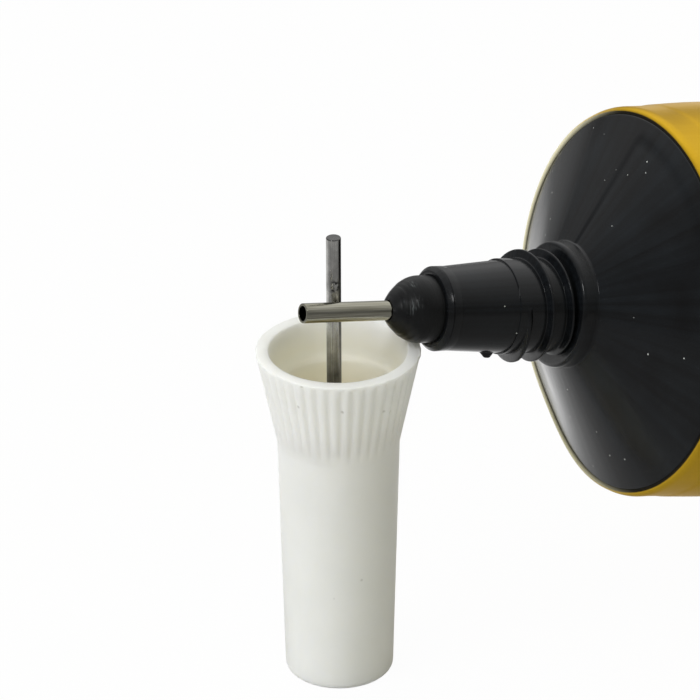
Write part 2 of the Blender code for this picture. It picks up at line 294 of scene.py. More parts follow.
def shaped(mesh, tree, sizes):
    """The plain mesh that a tree makes of a blank at the given sizes."""
    blank = bpy.data.objects.new(mesh.name, mesh)
    bpy.context.scene.collection.objects.link(blank)
    modifier = blank.modifiers.new(tree.name, "NODES")
    modifier.node_group = tree
    for item in tree.interface.items_tree:
        if item.in_out == "INPUT" and item.name in sizes:
            modifier[item.identifier] = sizes[item.name]
    evaluated = blank.evaluated_get(bpy.context.evaluated_depsgraph_get())
    result = bpy.data.meshes.new_from_object(evaluated)
    blank.modifiers.remove(modifier)
    bpy.data.objects.remove(blank)
    return result


# The thread is a helical bead raised on the masked rows of a turned blank. A negative height turns it in.
thread_tree, given = sized_tree("screw_thread", (
    "Pitch", "Height", "Crest", "Flank", "Start", "Angle", "Turns", "Run Out"))
spot, turn = about_axis(thread_tree, given["Angle"])
turn = add(thread_tree, "ShaderNodeMath", {0: turn, 1: 2 * math.pi}, operation="DIVIDE")
share = add(thread_tree, "ShaderNodeMath", {0: turn}, operation="FRACT")
along = spot["Z"]
for operation, value in (("SUBTRACT", given["Start"]), ("DIVIDE", given["Pitch"]), ("SUBTRACT", share)):
    along = add(thread_tree, "ShaderNodeMath", {0: along, 1: value}, operation=operation)
coil = add(thread_tree, "ShaderNodeMath", {0: along}, operation="ROUND")
helix = add(thread_tree, "ShaderNodeMath", {0: coil, 1: share}, operation="ADD")
rest = add(thread_tree, "ShaderNodeMath", {0: given["Turns"], 1: helix}, operation="SUBTRACT")
ends = add(thread_tree, "ShaderNodeMath", {0: helix, 1: rest}, operation="MINIMUM")
ends = add(thread_tree, "ShaderNodeMath", {0: ends, 1: given["Run Out"]}, operation="DIVIDE", use_clamp=True)
aside = add(thread_tree, "ShaderNodeMath", {0: along, 1: coil}, operation="SUBTRACT")
aside = add(thread_tree, "ShaderNodeMath", {0: aside}, operation="ABSOLUTE")
aside = add(thread_tree, "ShaderNodeMath", {0: aside, 1: given["Pitch"]}, operation="MULTIPLY")
foot = add(thread_tree, "ShaderNodeMath", {0: given["Crest"], 1: given["Flank"]}, operation="ADD")
bead = add(thread_tree, "ShaderNodeMapRange", {
    "Value": aside, "From Min": foot, "From Max": given["Crest"]}, interpolation_type="SMOOTHSTEP")
mask = add(thread_tree, "GeometryNodeInputNamedAttribute", {"Name": "mask"}, data_type="FLOAT")
lift = bead
for value in (ends, given["Height"], mask):
    lift = add(thread_tree, "ShaderNodeMath", {0: lift, 1: value}, operation="MULTIPLY")
ended_pushed(thread_tree, given, spot, lift)

# Moulded polyethylene, semi-gloss: nearly black with a soft sheen, faint flow lines that fan out from the
# neck and a few pale grains of dust.
BLACK_DEEP = "0a0a0b"
BLACK_PALE = "14171a"
DUST = "c9ccc9"
MOULD_CLOUD = 5 * MM
MOULD_GRAIN = 0.3 * MM
MOULD_RELIEF = 0.02 * MM
FLOW_LINES = 16.0
DUST_SPACING = 1.75 * MM
DUST_RADIUS = 0.085 * MM
# The usual spread of a noise, which tone and gloss follow
NOISE_SPAN = {"From Min": 0.3, "From Max": 0.7}
black_pe, tree, shader, own = finish_of("moulded_black_polyethylene", tube_place)
cloud = add(tree, "ShaderNodeTexNoise", {"Vector": own, "Scale": 1 / MOULD_CLOUD, "Detail": 3.0})
fan = add(tree, "ShaderNodeVectorMath", {0: own, 1: (1.0, 1.0, 0.0)}, operation="MULTIPLY")
fan = add(tree, "ShaderNodeVectorMath", {0: fan}, operation="NORMALIZE")
flow = add(tree, "ShaderNodeTexNoise", {"Vector": fan, "Scale": FLOW_LINES, "Detail": 4.0})
tone = add(tree, "ShaderNodeMath", {0: cloud, 1: flow}, operation="MULTIPLY")
tone = add(tree, "ShaderNodeMapRange", {"Value": tone, "From Min": 0.12, "From Max": 0.4})
grain = add(tree, "ShaderNodeTexNoise", {"Vector": own, "Scale": 1 / MOULD_GRAIN, "Detail": 2.0})
cell = add(tree, "ShaderNodeTexVoronoi", {"Vector": own, "Scale": 1 / DUST_SPACING})
dust = add(tree, "ShaderNodeMapRange", {
    "Value": cell.outputs["Distance"], "From Min": DUST_RADIUS / DUST_SPACING,
    "From Max": 0.5 * DUST_RADIUS / DUST_SPACING})
colour = add(tree, "ShaderNodeMix", {
    "Factor": tone, "A": linear(BLACK_DEEP), "B": linear(BLACK_PALE)}, data_type="RGBA")
colour = add(tree, "ShaderNodeMix", {"Factor": dust, "A": colour, "B": linear(DUST)}, data_type="RGBA")
gloss = add(tree, "ShaderNodeMapRange", {"Value": cloud, **NOISE_SPAN, "To Min": 0.13, "To Max": 0.23})
relief = add(tree, "ShaderNodeMath", {0: flow, 1: 2.0, 2: grain}, operation="MULTIPLY_ADD")
bump = add(tree, "ShaderNodeBump", {"Height": relief, "Strength": 0.25, "Distance": MOULD_RELIEF})
wire(tree, shader, {
    "Base Color": colour, "Roughness": gloss, "Normal": bump, "IOR": 1.51, "Specular IOR Level": 0.35})


def neck_radius(z):
    """Radius of the tapered neck between its lip and the thread."""
    share = (z - LIP_END) / (THREAD_START - LIP_END)
    return NECK_TOP_RADIUS + (NECK_BASE_RADIUS - NECK_TOP_RADIUS) * share


def inner_cone(radius):
    """Station of the cone's inner face at a given radius."""
    slope = (SLEEVE_FRONT - CONE_TOP) / (SHOULDER_EDGE - COLLAR_RADIUS)
    return CONE_TOP + CONE_WALL + (radius - COLLAR_RADIUS) * slope


def sagged(x, y, z):
    """A point of the tube's round end, which is drawn in a little on its far, lower side."""
    share = math.exp(-((math.atan2(y, x) - SAG_SIDE) / SAG_SPREAD) ** 2)
    share *= smooth(COLLAR_RADIUS, CONE_EDGE, math.hypot(x, y))
    share *= 1 - smooth(SLEEVE_FRONT + SAG_FADE[0], SKIRT_END - SAG_FADE[1], z)
    return pushed((x, y, z), -SAG_DEPTH * share)


lip_corner = NECK_FACE + LIP_CHAMFER
shoulder_outline = filleted([
    (NECK_FACE, NECK_BORE, LIP_ROUND),
    (NECK_FACE, LIP_RADIUS - LIP_CHAMFER, LIP_ROUND),
    (lip_corner, LIP_RADIUS, GROOVE_ROUND),
    (lip_corner + GROOVE_STATIONS[0], LIP_RADIUS, 0),
    (lip_corner + GROOVE_STATIONS[1], LIP_RADIUS - GROOVE_DEPTH, 0),
    (lip_corner + GROOVE_STATIONS[2], LIP_RADIUS, GROOVE_ROUND),
    (LIP_END, LIP_RADIUS, LIP_ROUND),
    (LIP_END + LIP_ROUND, NECK_TOP_RADIUS, LIP_ROUND),
    (THREAD_START, NECK_BASE_RADIUS, 0),
], steps=3)[:-1]
shoulder_outline += [(z, neck_radius(z)) for z in spaced(LIP_END, THREAD_START, NECK_ROW)[1:-1]]
shoulder_outline += filleted([
    (THREAD_START - THREAD_MARGIN, neck_radius(THREAD_START - THREAD_MARGIN), 0),
    (THREAD_START, NECK_BASE_RADIUS, NECK_FOOT_ROUND),
    (THREAD_START, THREAD_ROOT, ROOT_ROUND),
    (THREAD_START + ROOT_RUN, THREAD_ROOT, 0),
])[1:]
thread_rows = spaced(THREAD_START + THREAD_MARGIN, COLLAR_FRONT, THREAD_ROW)
shoulder_outline += [(z, THREAD_ROOT) for z in thread_rows]
shoulder_outline += filleted([
    (COLLAR_FRONT, THREAD_ROOT, 0),
    (COLLAR_FRONT, COLLAR_RADIUS, COLLAR_ROUND),
    (CONE_TOP, COLLAR_RADIUS, CONE_ROUND),
    (SLEEVE_FRONT, SHOULDER_EDGE, 0),
])[1:-1]
cone_rows = spaced(COLLAR_RADIUS + CONE_MARGINS[0], CONE_EDGE - CONE_MARGINS[1], CONE_ROW)
shoulder_outline += [(inner_cone(radius) - CONE_WALL, radius) for radius in cone_rows]
shoulder_outline += filleted([
    (inner_cone(cone_rows[-1]) - CONE_WALL, cone_rows[-1], 0),
    (inner_cone(CONE_EDGE) - CONE_WALL, CONE_EDGE, CONE_ROUND),
    (SLEEVE_FRONT + SKIRT_SETBACK, CONE_EDGE, 0),
    (SLEEVE_FRONT + SKIRT_SETBACK, SHOULDER_EDGE, 0),
    (SKIRT_END, SHOULDER_EDGE, SKIRT_ROUND),
    (SKIRT_END, SKIRT_BORE, SKIRT_ROUND),
    (inner_cone(SKIRT_BORE), SKIRT_BORE, CONE_CORNER),
    (inner_cone(PASSAGE_RADIUS), PASSAGE_RADIUS, PASSAGE_CORNER),
    (PLUG_BACK, PASSAGE_RADIUS, PLUG_SEAT_ROUND),
    (PLUG_BACK, NECK_BORE, PLUG_SEAT_ROUND),
    (NECK_FACE, NECK_BORE, 0),
])[1:-1]


def threaded(z, radius):
    """1 on the rows of the neck that carry the thread, and 0 elsewhere."""
    return float(THREAD_START < z <= COLLAR_FRONT and abs(radius - THREAD_ROOT) < CLOSE)


shoulder = turned("shoulder_blank", shoulder_outline, SHOULDER_SIDES, threaded)
thread_sizes = {"Pitch": THREAD_PITCH, "Crest": THREAD_CREST, "Flank": THREAD_FLANK, "Angle": THREAD_ANGLE,
                "Run Out": THREAD_RUN_OUT}
shoulder = shaped(shoulder, thread_tree, {
    **thread_sizes, "Height": THREAD_HEIGHT, "Start": THREAD_START + THREAD_LEAD, "Turns": THREAD_TURNS,
    "Material": black_pe})
# A plain sector of the cone is sunk along one edge and rises to nothing at the other. Under the neck stands
# the cut stub of the moulding gate.
for vertex in shoulder.vertices:
    radius = math.hypot(vertex.co.x, vertex.co.y)
    angle = math.atan2(vertex.co.y, vertex.co.x)
    if CONE_TOP < vertex.co.z < SLEEVE_FRONT and inner_cone(radius) - 0.5 * CONE_WALL > vertex.co.z:
        past = (angle - PANEL_START) % (2 * math.pi) * radius
        inside = min(past, radius - PANEL_INNER, PANEL_OUTER - radius)
        ramp = max(1 - past / (PANEL_SPAN * radius), 0.0)
        vertex.co.z += PANEL_DEPTH * ramp * smooth(0.0, PANEL_EDGE, inside)
    elif NECK_FACE < vertex.co.z < THREAD_START and radius > 0.5 * (NECK_BORE + LIP_RADIUS):
        away = math.hypot(GATE_STRETCH * (vertex.co.z - GATE_STATION), (angle - GATE_ANGLE) * radius)
        vertex.co = pushed(vertex.co, GATE_HEIGHT * (1 - smooth(GATE_TOP, GATE_SIZE, away)))
    vertex.co = sagged(*vertex.co)
shoulder_piece = placed("shoulder_moulding", shoulder, tube_place, black_pe, SHOULDER_SHARP)
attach(shoulder_piece, "tube")
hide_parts("shoulder_neck")

# Barrier insert
# A thin liner disc of natural polyester, moulded first and pressed under the cone so that solvent in the glue
# cannot creep out through the polyethylene. It is hidden inside the tube.

# Natural moulded polyester: milky and a little cloudy, with an even, half-dull gloss.
LINER_DEEP = "bdb7a3"
LINER_PALE = "d8d4c4"
LINER_CLOUD = 3 * MM
LINER_RELIEF = 0.02 * MM
liner, tree, shader, own = finish_of("natural_moulded_polyester", tube_place)
cloud = add(tree, "ShaderNodeTexNoise", {"Vector": own, "Scale": 1 / LINER_CLOUD, "Detail": 3.0})
colour = add(tree, "ShaderNodeMix", {
    "Factor": cloud, "A": linear(LINER_DEEP), "B": linear(LINER_PALE)}, data_type="RGBA")
bump = add(tree, "ShaderNodeBump", {"Height": cloud, "Strength": 0.2, "Distance": LINER_RELIEF})
wire(tree, shader, {"Base Color": colour, "Roughness": 0.4, "Normal": bump, "IOR": 1.57})
frame["nodes"]["barrier_insert"].data.materials[0] = liner

# Tube sleeve
# A laminate of polyethylene and metallised film, rolled, lap welded along its back and lacquered gold. It is
# round where the shoulder is welded in, with its cut edge rolled over on one side, where it is painted pale
# as a highlight. At the tail hot jaws press it flat and crimp it shut.
SLEEVE_RADIUS = 17.5 * MM
SLEEVE_WALL = 0.45 * MM
SLEEVE_EDGE = 0.8 * MM
EDGE_STEPS = 6
# The lip of the cut edge, as stations past the sleeve's front and insets from its outside
SLEEVE_LIP = ((0.08 * MM, 0.70 * MM), (-0.04 * MM, 0.70 * MM), (-0.08 * MM, 0.66 * MM),
              (-0.08 * MM, 0.42 * MM))
ROLL_WIDTH = 0.2 * MM
ROLL_HEIGHT = 0.18 * MM
# The rolled side of the cut edge, which is also painted pale as a highlight: its angle, fade and shares on
# the rows
RIM_SIDE = math.radians(65)
RIM_FADE = (-0.1, 0.6)
RIM_INNER_HIGHLIGHT = 0.16
RIM_OUTER_ROWS = 4
SLEEVE_END = 187.442 * MM
SLEEVE_FULLNESS = 1.6
GIRTH_HALVINGS = 40
SLEEVE_SIDES = 192
SLEEVE_ROW = 1.5 * MM
SLEEVE_FINE_ROW = 0.25 * MM
CRIMP_LENGTH = 8.0 * MM
CRIMP_BLEND = 1.0 * MM
CAVITY_SETBACK = 6.0 * MM
CAVITY_ROW = 6.0 * MM
CRIMP_EDGE_STEEPNESS = 8.0
WELD_RING = 0.05 * MM
WELD_FADE = 0.5 * MM
SEAM_ANGLE = math.radians(118)
SEAM_WIDTH = 1.6 * MM
SEAM_STEP = 0.16 * MM
SEAM_RISE = (1 * MM, 4 * MM)
BULGE = 0.35 * MM
BULGE_RISE = (1 * MM, 9 * MM)
BULGE_FALL = (0.3, 0.8)
DENT_SIZE = 26 * MM
DENT_STRETCH = 0.6
DENT_DEPTH = 0.35 * MM
DENT_RISE = (6 * MM, 40 * MM)
PLEAT_SIZE = 5.0 * MM
PLEAT_STRETCH = (0.4, 1.0, 0.12)
PLEAT_DEPTH = 0.22 * MM
PLEAT_REACH = (22 * MM, 2 * MM)
crimp_start = SLEEVE_END - CRIMP_LENGTH
crimp_flat = crimp_start + CRIMP_BLEND

# Gold lacquer over metallised film: a warm satin metal with fine rolling lines along the tube and a shallow
# orange peel. The cut edge and the inside are dull and painted black, a painted shadow of the gap against the
# cone, and one side of the cut edge is painted pale, a painted highlight.
GOLD_DEEP = "c89c1a"
GOLD_PALE = "e8be34"
GOLD_RIM_HIGHLIGHT = "dcd6b8"
GOLD_GRAZE = "ffecb4"
FOIL_LINE = 0.4 * MM
FOIL_LENGTH = 25 * MM
FOIL_LINE_SHARE = 0.12
FOIL_CLOUD = 14 * MM
FOIL_PEEL = 1.6 * MM
FOIL_RELIEF = 0.06 * MM
FOIL_METAL = 0.7
CUT_ROUGHNESS = 0.9


def streaked(tree, own, sizes, detail):
    """Noise with its own grain size along each of a piece's axes."""
    grain = add(tree, "ShaderNodeMapping", {"Vector": own, "Scale": sizes}, vector_type="TEXTURE")
    return add(tree, "ShaderNodeTexNoise", {"Vector": grain, "Scale": 1.0, "Detail": detail})


gold, tree, shader, own = finish_of("gold_lacquered_laminate", tube_place)
lines = streaked(tree, own, (FOIL_LINE, FOIL_LINE, FOIL_LENGTH), 3.0)
peel = add(tree, "ShaderNodeTexNoise", {"Vector": own, "Scale": 1 / FOIL_PEEL, "Detail": 2.0})
cloud = add(tree, "ShaderNodeTexNoise", {"Vector": own, "Scale": 1 / FOIL_CLOUD, "Detail": 3.0})
tone = add(tree, "ShaderNodeMath", {0: lines, 1: FOIL_LINE_SHARE, 2: cloud}, operation="MULTIPLY_ADD")
tone = add(tree, "ShaderNodeMapRange", {"Value": tone, "From Min": 0.34, "From Max": 0.8})
colour = add(tree, "ShaderNodeMix", {
    "Factor": tone, "A": linear(GOLD_DEEP), "B": linear(GOLD_PALE)}, data_type="RGBA")
gloss = add(tree, "ShaderNodeMapRange", {"Value": cloud, **NOISE_SPAN, "To Min": 0.26, "To Max": 0.36})
bump = add(tree, "ShaderNodeBump", {"Height": peel, "Strength": 0.35, "Distance": FOIL_RELIEF})
# The cut edge is painted black, a painted shadow of the gap against the cone.
cut = add(tree, "ShaderNodeAttribute", attribute_name="cut").outputs["Fac"]
colour = add(tree, "ShaderNodeMix", {"Factor": cut, "A": colour, "B": linear(BLACK_DEEP)}, data_type="RGBA")
# One side of the cut edge is painted pale, a painted highlight.
rim = add(tree, "ShaderNodeAttribute", attribute_name="rim").outputs["Fac"]
colour = add(tree, "ShaderNodeMix", {"Factor": rim, "A": colour, "B": linear(GOLD_RIM_HIGHLIGHT)}, data_type="RGBA")
cut = add(tree, "ShaderNodeMath", {0: cut, 1: rim}, operation="MAXIMUM")
metal = add(tree, "ShaderNodeMapRange", {"Value": cut, "To Min": FOIL_METAL, "To Max": 0.0})
gloss = add(tree, "ShaderNodeMix", {"Factor": cut, "A": gloss, "B": CUT_ROUGHNESS}, data_type="FLOAT")
wire(tree, shader, {
    "Base Color": colour, "Roughness": gloss, "Normal": bump, "Metallic": metal,
    "Specular Tint": linear(GOLD_GRAZE)})


def half_height(z):
    """Half height of the sleeve's section: round along the shoulder's skirt, then falling to the crimp."""
    share = min(max((z - SKIRT_END) / (crimp_start - SKIRT_END), 0.0), 1.0)
    return CRIMP_HALF + (SLEEVE_RADIUS - CRIMP_HALF) * (1 - share ** SLEEVE_FULLNESS)


def half_width(height):
    """Half width of an oval that keeps the round sleeve's girth at a given half height."""
    girth = 2 * math.pi * SLEEVE_RADIUS
    low = SLEEVE_RADIUS
    high = girth / 4
    for _ in range(GIRTH_HALVINGS):
        width = 0.5 * (low + high)
        mixed = math.sqrt((3 * height + width) * (height + 3 * width))
        if math.pi * (3 * (height + width) - mixed) < girth:
            low = width
        else:
            high = width
    return low


def sleeve_row(z, inset, outside):
    """One row of the sleeve. The outside also carries the seam, bulge, dents and pleats."""
    height = half_height(z)
    width = half_width(height)
    flat = smooth(crimp_start, crimp_flat, z)
    points = []
    for k in range(SLEEVE_SIDES):
        angle = 2 * math.pi * k / SLEEVE_SIDES
        rise = min(max(CRIMP_EDGE_STEEPNESS * math.cos(angle), -1.0), 1.0)
        oval_x = (height - inset) * math.cos(angle)
        x = oval_x + (CRIMP_HALF * rise - oval_x) * flat
        y = (width - inset) * math.sin(angle)
        if outside:
            lap = abs(angle - SEAM_ANGLE) * SLEEVE_RADIUS
            lift = SEAM_STEP * (1 - smooth(0.5 * SEAM_WIDTH, 0.6 * SEAM_WIDTH, lap)) * (1 - flat)
            lift *= smooth(SKIRT_END + SEAM_RISE[0], SKIRT_END + SEAM_RISE[1], z)
            lift -= WELD_RING * (1 - smooth(SKIRT_END, SKIRT_END + WELD_FADE, z))
            full = smooth(SLEEVE_FRONT + BULGE_RISE[0], SLEEVE_FRONT + BULGE_RISE[1], z)
            lift += BULGE * full * (1 - smooth(BULGE_FALL[0] * SLEEVE_END, BULGE_FALL[1] * SLEEVE_END, z))
            slack = smooth(SKIRT_END + DENT_RISE[0], SKIRT_END + DENT_RISE[1], z) * (1 - flat)
            lift += DENT_DEPTH * slack * noise.noise(Vector((x, y, DENT_STRETCH * z)) / DENT_SIZE)
            near_crimp = smooth(crimp_start - PLEAT_REACH[0], crimp_start - PLEAT_REACH[1], z) * (1 - flat)
            pleat = noise.noise(Vector((x, y, z)) * Vector(PLEAT_STRETCH) / PLEAT_SIZE)
            lift += PLEAT_DEPTH * near_crimp * pleat
            x += lift * math.cos(angle)
            y += lift * math.sin(angle)
        points.append((x, y, z))
    return points


edge_turns = [0.5 * math.pi * k / EDGE_STEPS for k in range(1, EDGE_STEPS + 1)]
edge_front, edge_inset = SLEEVE_LIP[-1]
edge_back = SLEEVE_FRONT + edge_front + SLEEVE_EDGE
skirt_past = SKIRT_END + SEAM_RISE[0]
outer_rows = [(SLEEVE_FRONT + z, inset) for z, inset in SLEEVE_LIP]
outer_rows += [(edge_back - SLEEVE_EDGE * math.cos(turn), edge_inset * (1 - math.sin(turn)))
               for turn in edge_turns]
outer_rows += [(z, 0.0) for z in spaced(edge_back, skirt_past, SLEEVE_FINE_ROW)[1:]]
outer_rows += [(z, 0.0) for z in spaced(skirt_past, crimp_start, SLEEVE_ROW)[1:]]
outer_rows += [(z, 0.0) for z in spaced(crimp_start, SLEEVE_END, SLEEVE_FINE_ROW)[1:]]
cavity_rows = spaced(crimp_start - CAVITY_SETBACK, SLEEVE_FRONT + SLEEVE_LIP[0][0], CAVITY_ROW)
sleeve_rings = [sleeve_row(z, SLEEVE_WALL, False) for z in cavity_rows]
sleeve_rings += [sleeve_row(z, inset, True) for z, inset in outer_rows]
# One side of the lip is rolled inwards and stands a little further forward, and it also carries the painted
# highlight
rim_turns = [2 * math.pi * k / SLEEVE_SIDES - RIM_SIDE for k in range(SLEEVE_SIDES)]
rim_side_weights = [smooth(*RIM_FADE, math.cos(turn)) for turn in rim_turns]
lip_start = len(cavity_rows)
cut_rows = lip_start + len(SLEEVE_LIP)
for row in range(lip_start, cut_rows + 2):
    narrowed = ROLL_WIDTH if row < cut_rows - 1 else 0.0
    raised = ROLL_HEIGHT if row > lip_start else 0.0
    for k, side_weight in enumerate(rim_side_weights):
        x, y, z = sleeve_rings[row][k]
        sleeve_rings[row][k] = pushed((x, y, z - raised * side_weight), -narrowed * side_weight)
sleeve_points = [sagged(*point) for row in sleeve_rings for point in row]
sleeve_faces = [list(range(SLEEVE_SIDES))]
for start in range(0, len(sleeve_points) - SLEEVE_SIDES, SLEEVE_SIDES):
    for k in range(SLEEVE_SIDES):
        n = (k + 1) % SLEEVE_SIDES
        sleeve_faces.append((start + k, start + n, start + SLEEVE_SIDES + n, start + SLEEVE_SIDES + k))
sleeve_faces.append(list(range(len(sleeve_points) - SLEEVE_SIDES, len(sleeve_points))))
sleeve = bpy.data.meshes.new("sleeve")
sleeve.from_pydata(sleeve_points, [], sleeve_faces)
# The lip and the inside of the sleeve are painted black, a painted shadow of the gap against the cone.
cut_edge = [1.0 if row < cut_rows else 0.0 for row in range(len(sleeve_rings)) for _ in range(SLEEVE_SIDES)]
sleeve.attributes.new("cut", "FLOAT", "POINT").data.foreach_set("value", cut_edge)
# The rim rows carry the painted highlight, and the row in front of them a trace of it.
rim_rows = dict.fromkeys(range(cut_rows - 1, cut_rows + RIM_OUTER_ROWS), 1.0)
rim_rows[cut_rows - 2] = RIM_INNER_HIGHLIGHT
rim_painted_highlight = [rim_rows.get(row, 0.0) * side_weight for row in range(len(sleeve_rings)) for side_weight in rim_side_weights]
sleeve.attributes.new("rim", "FLOAT", "POINT").data.foreach_set("value", rim_painted_highlight)
sleeve_piece = placed("laminate_sleeve", sleeve, tube_place, gold)
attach(sleeve_piece, "tube")
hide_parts("tube_sleeve")

# The jaws press cross bars into the crimp: one rounded bar, repeated along the tail and standing proud of
# both faces. Its shape is given as shares of its reach and of its section.
BAR_COUNT = 6
BAR_PITCH = 1.05 * MM
BAR_HALF_WIDTH = 0.28 * MM
BAR_PROUD = 0.1 * MM
BAR_MARGIN = 1.4 * MM
BAR_START = 1.55 * MM
BAR_SIDES = 16
BAR_SHAPE = ((-1.0, 0.0), (-0.99, 0.75), (-0.97, 1.0), (0.97, 1.0), (0.99, 0.75), (1.0, 0.0))
bar_tree, given = sized_tree("crimp_bars", ("Count", "Pitch", "Start"))
step = add(bar_tree, "ShaderNodeCombineXYZ", {"Z": given["Pitch"]})
begin = add(bar_tree, "ShaderNodeCombineXYZ", {"Z": given["Start"]})
places = add(bar_tree, "GeometryNodeMeshLine", {
    "Count": given["Count"], "Start Location": begin, "Offset": step})
bars = add(bar_tree, "GeometryNodeInstanceOnPoints", {"Points": places, "Instance": given["Blank"]})
ended(bar_tree, bars, given)

bar = turned("crimp_bar", BAR_SHAPE, BAR_SIDES)
bar_sizes = (CRIMP_HALF + BAR_PROUD, half_width(CRIMP_HALF) - BAR_MARGIN, BAR_HALF_WIDTH, 1.0)
bar.transform(Matrix.Diagonal(bar_sizes) @ Matrix.Rotation(-0.5 * math.pi, 4, "X"))
bars = shaped(bar, bar_tree, {
    "Count": float(BAR_COUNT), "Pitch": BAR_PITCH, "Start": crimp_start + BAR_START, "Material": gold})
bars_piece = placed("crimp_bars", bars, tube_place, gold)
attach(bars_piece, "tube")

# Nozzle plug
# A black polypropylene plug pressed into the neck after filling. Its domed nose grips the needle, with a torn
# lip of flash round the steel, and wrinkles and scuffs where the needle was driven in.
PLUG_NOSE = 8.4 * MM
PLUG_RADIUS = 2.96 * MM
PLUG_NOSE_RADIUS = 1.0 * MM
PLUG_NOSE_EDGE = 0.05 * MM
PLUG_DOME = 3.1 * MM
PLUG_FULLNESS = 2.05
DOME_ROW = 0.04 * MM
NEEDLE_SEAT = 0.92 * MM
SEAT_MARGIN = 0.02 * MM
PLUG_END = 18.55 * MM
PLUG_END_ROUND = 0.2 * MM
PLUG_ROW = 0.2 * MM
FUNNEL_RADIUS = 2.1 * MM
FUNNEL_ROUND = 0.1 * MM
FUNNEL_LENGTH = 4.0 * MM
FLASH_REACH = 0.3 * MM
FLASH_HEIGHT = 0.05 * MM
FLASH_SIZE = 0.5 * MM
WRINKLE_REACH = 2.4 * MM
WRINKLE_START = 0.4 * WRINKLE_REACH
WRINKLE_HEIGHT = 0.06 * MM
WRINKLE_WIDTH = 0.3 * MM
WRINKLE_LENGTH = 2.2 * MM
PLUG_SIDES = 192

# Moulded polypropylene, satin: black with a broad soft sheen, fine turning marks round the dome and pale
# scuff strokes where it was rubbed.
PLUG_DEEP = "0b0b0c"
PLUG_PALE = "18191a"
SCUFF = "484c4d"
SCUFF_SPOTS = ((9.6 * MM, math.radians(-126), 1.15 * MM), (10.1 * MM, math.radians(-172), 0.7 * MM))
SCUFF_INSET = 0.85
SCUFF_WIDTH = 0.09 * MM
SCUFF_LENGTH = 0.8 * MM
RING_WIDTH = 0.16 * MM
RING_LENGTH = 3.0 * MM
PLUG_CLOUD = 1.8 * MM
PLUG_GRAIN = 0.16 * MM
PLUG_RELIEF = 0.02 * MM
black_pp, tree, shader, own = finish_of("moulded_black_polypropylene", tube_place)
cloud = add(tree, "ShaderNodeTexNoise", {"Vector": own, "Scale": 1 / PLUG_CLOUD, "Detail": 4.0})
grain = add(tree, "ShaderNodeTexNoise", {"Vector": own, "Scale": 1 / PLUG_GRAIN, "Detail": 2.0})
colour = add(tree, "ShaderNodeMix", {
    "Factor": cloud, "A": linear(PLUG_DEEP), "B": linear(PLUG_PALE)}, data_type="RGBA")
strokes = streaked(tree, own, (SCUFF_LENGTH, SCUFF_LENGTH, SCUFF_WIDTH), 1.0)
strokes = add(tree, "ShaderNodeMapRange", {"Value": strokes, "From Min": 0.58, "From Max": 0.7})
rubbed = 0.0
for station, angle, size in SCUFF_SPOTS:
    radius = SCUFF_INSET * PLUG_RADIUS
    spot = (radius * math.cos(angle), radius * math.sin(angle), station)
    away = add(tree, "ShaderNodeVectorMath", {0: own, 1: spot}, operation="DISTANCE").outputs["Value"]
    near = add(tree, "ShaderNodeMapRange", {"Value": away, "From Min": size, "From Max": 0.4 * size})
    rubbed = add(tree, "ShaderNodeMath", {0: near, 1: rubbed}, operation="MAXIMUM")
scuffs = add(tree, "ShaderNodeMath", {0: strokes, 1: rubbed}, operation="MULTIPLY")
colour = add(tree, "ShaderNodeMix", {"Factor": scuffs, "A": colour, "B": linear(SCUFF)}, data_type="RGBA")
gloss = add(tree, "ShaderNodeMapRange", {"Value": cloud, **NOISE_SPAN, "To Min": 0.24, "To Max": 0.38})
rings = streaked(tree, own, (RING_LENGTH, RING_LENGTH, RING_WIDTH), 2.0)
relief = add(tree, "ShaderNodeMath", {0: scuffs, 1: 2.0, 2: grain}, operation="MULTIPLY_ADD")
relief = add(tree, "ShaderNodeMath", {0: rings, 1: 5.0, 2: relief}, operation="MULTIPLY_ADD")
bump = add(tree, "ShaderNodeBump", {"Height": relief, "Strength": 0.4, "Distance": PLUG_RELIEF})
wire(tree, shader, {
    "Base Color": colour, "Roughness": gloss, "Normal": bump, "IOR": 1.49, "Specular IOR Level": 0.22})

dome_back = PLUG_NOSE + PLUG_DOME
plug_outline = [(PLUG_NOSE, NEEDLE_SEAT), (PLUG_NOSE, PLUG_NOSE_RADIUS - PLUG_NOSE_EDGE)]
for z in spaced(PLUG_NOSE, dome_back, DOME_ROW):
    rise = (PLUG_RADIUS - PLUG_NOSE_RADIUS) * (1 - ((dome_back - z) / PLUG_DOME) ** PLUG_FULLNESS)
    plug_outline.append((z, PLUG_NOSE_RADIUS + rise))
plug_outline += [(z, PLUG_RADIUS) for z in spaced(dome_back, NECK_FACE, PLUG_ROW)[1:]]
plug_outline += filleted([
    (NECK_FACE, PLUG_RADIUS, 0),
    (PLUG_END, PLUG_RADIUS, PLUG_END_ROUND),
    (PLUG_END, FUNNEL_RADIUS, FUNNEL_ROUND),
    (PLUG_END - FUNNEL_LENGTH, NEEDLE_SEAT, 0),
    (PLUG_NOSE, NEEDLE_SEAT, 0),
])[1:-1]
plug = turned("plug", plug_outline, PLUG_SIDES)
for vertex in plug.vertices:
    x, y, z = vertex.co
    back = z - PLUG_NOSE
    if math.hypot(x, y) < NEEDLE_SEAT + SEAT_MARGIN:
        continue
    if back < WRINKLE_REACH:
        fold = noise.noise(Vector((x / WRINKLE_LENGTH, y / WRINKLE_LENGTH, z / WRINKLE_WIDTH)))
        fade = 1 - smooth(WRINKLE_START, WRINKLE_REACH, back)
        vertex.co = pushed(vertex.co, WRINKLE_HEIGHT * fold * fade)
    if back < FLASH_REACH:
        torn = noise.noise(Vector((vertex.co.x, vertex.co.y, 0.0)) / FLASH_SIZE)
        lift = FLASH_HEIGHT * torn * (1 - smooth(0.0, FLASH_REACH, back))
        vertex.co = pushed(vertex.co, lift)
        vertex.co.z -= max(lift, 0.0)
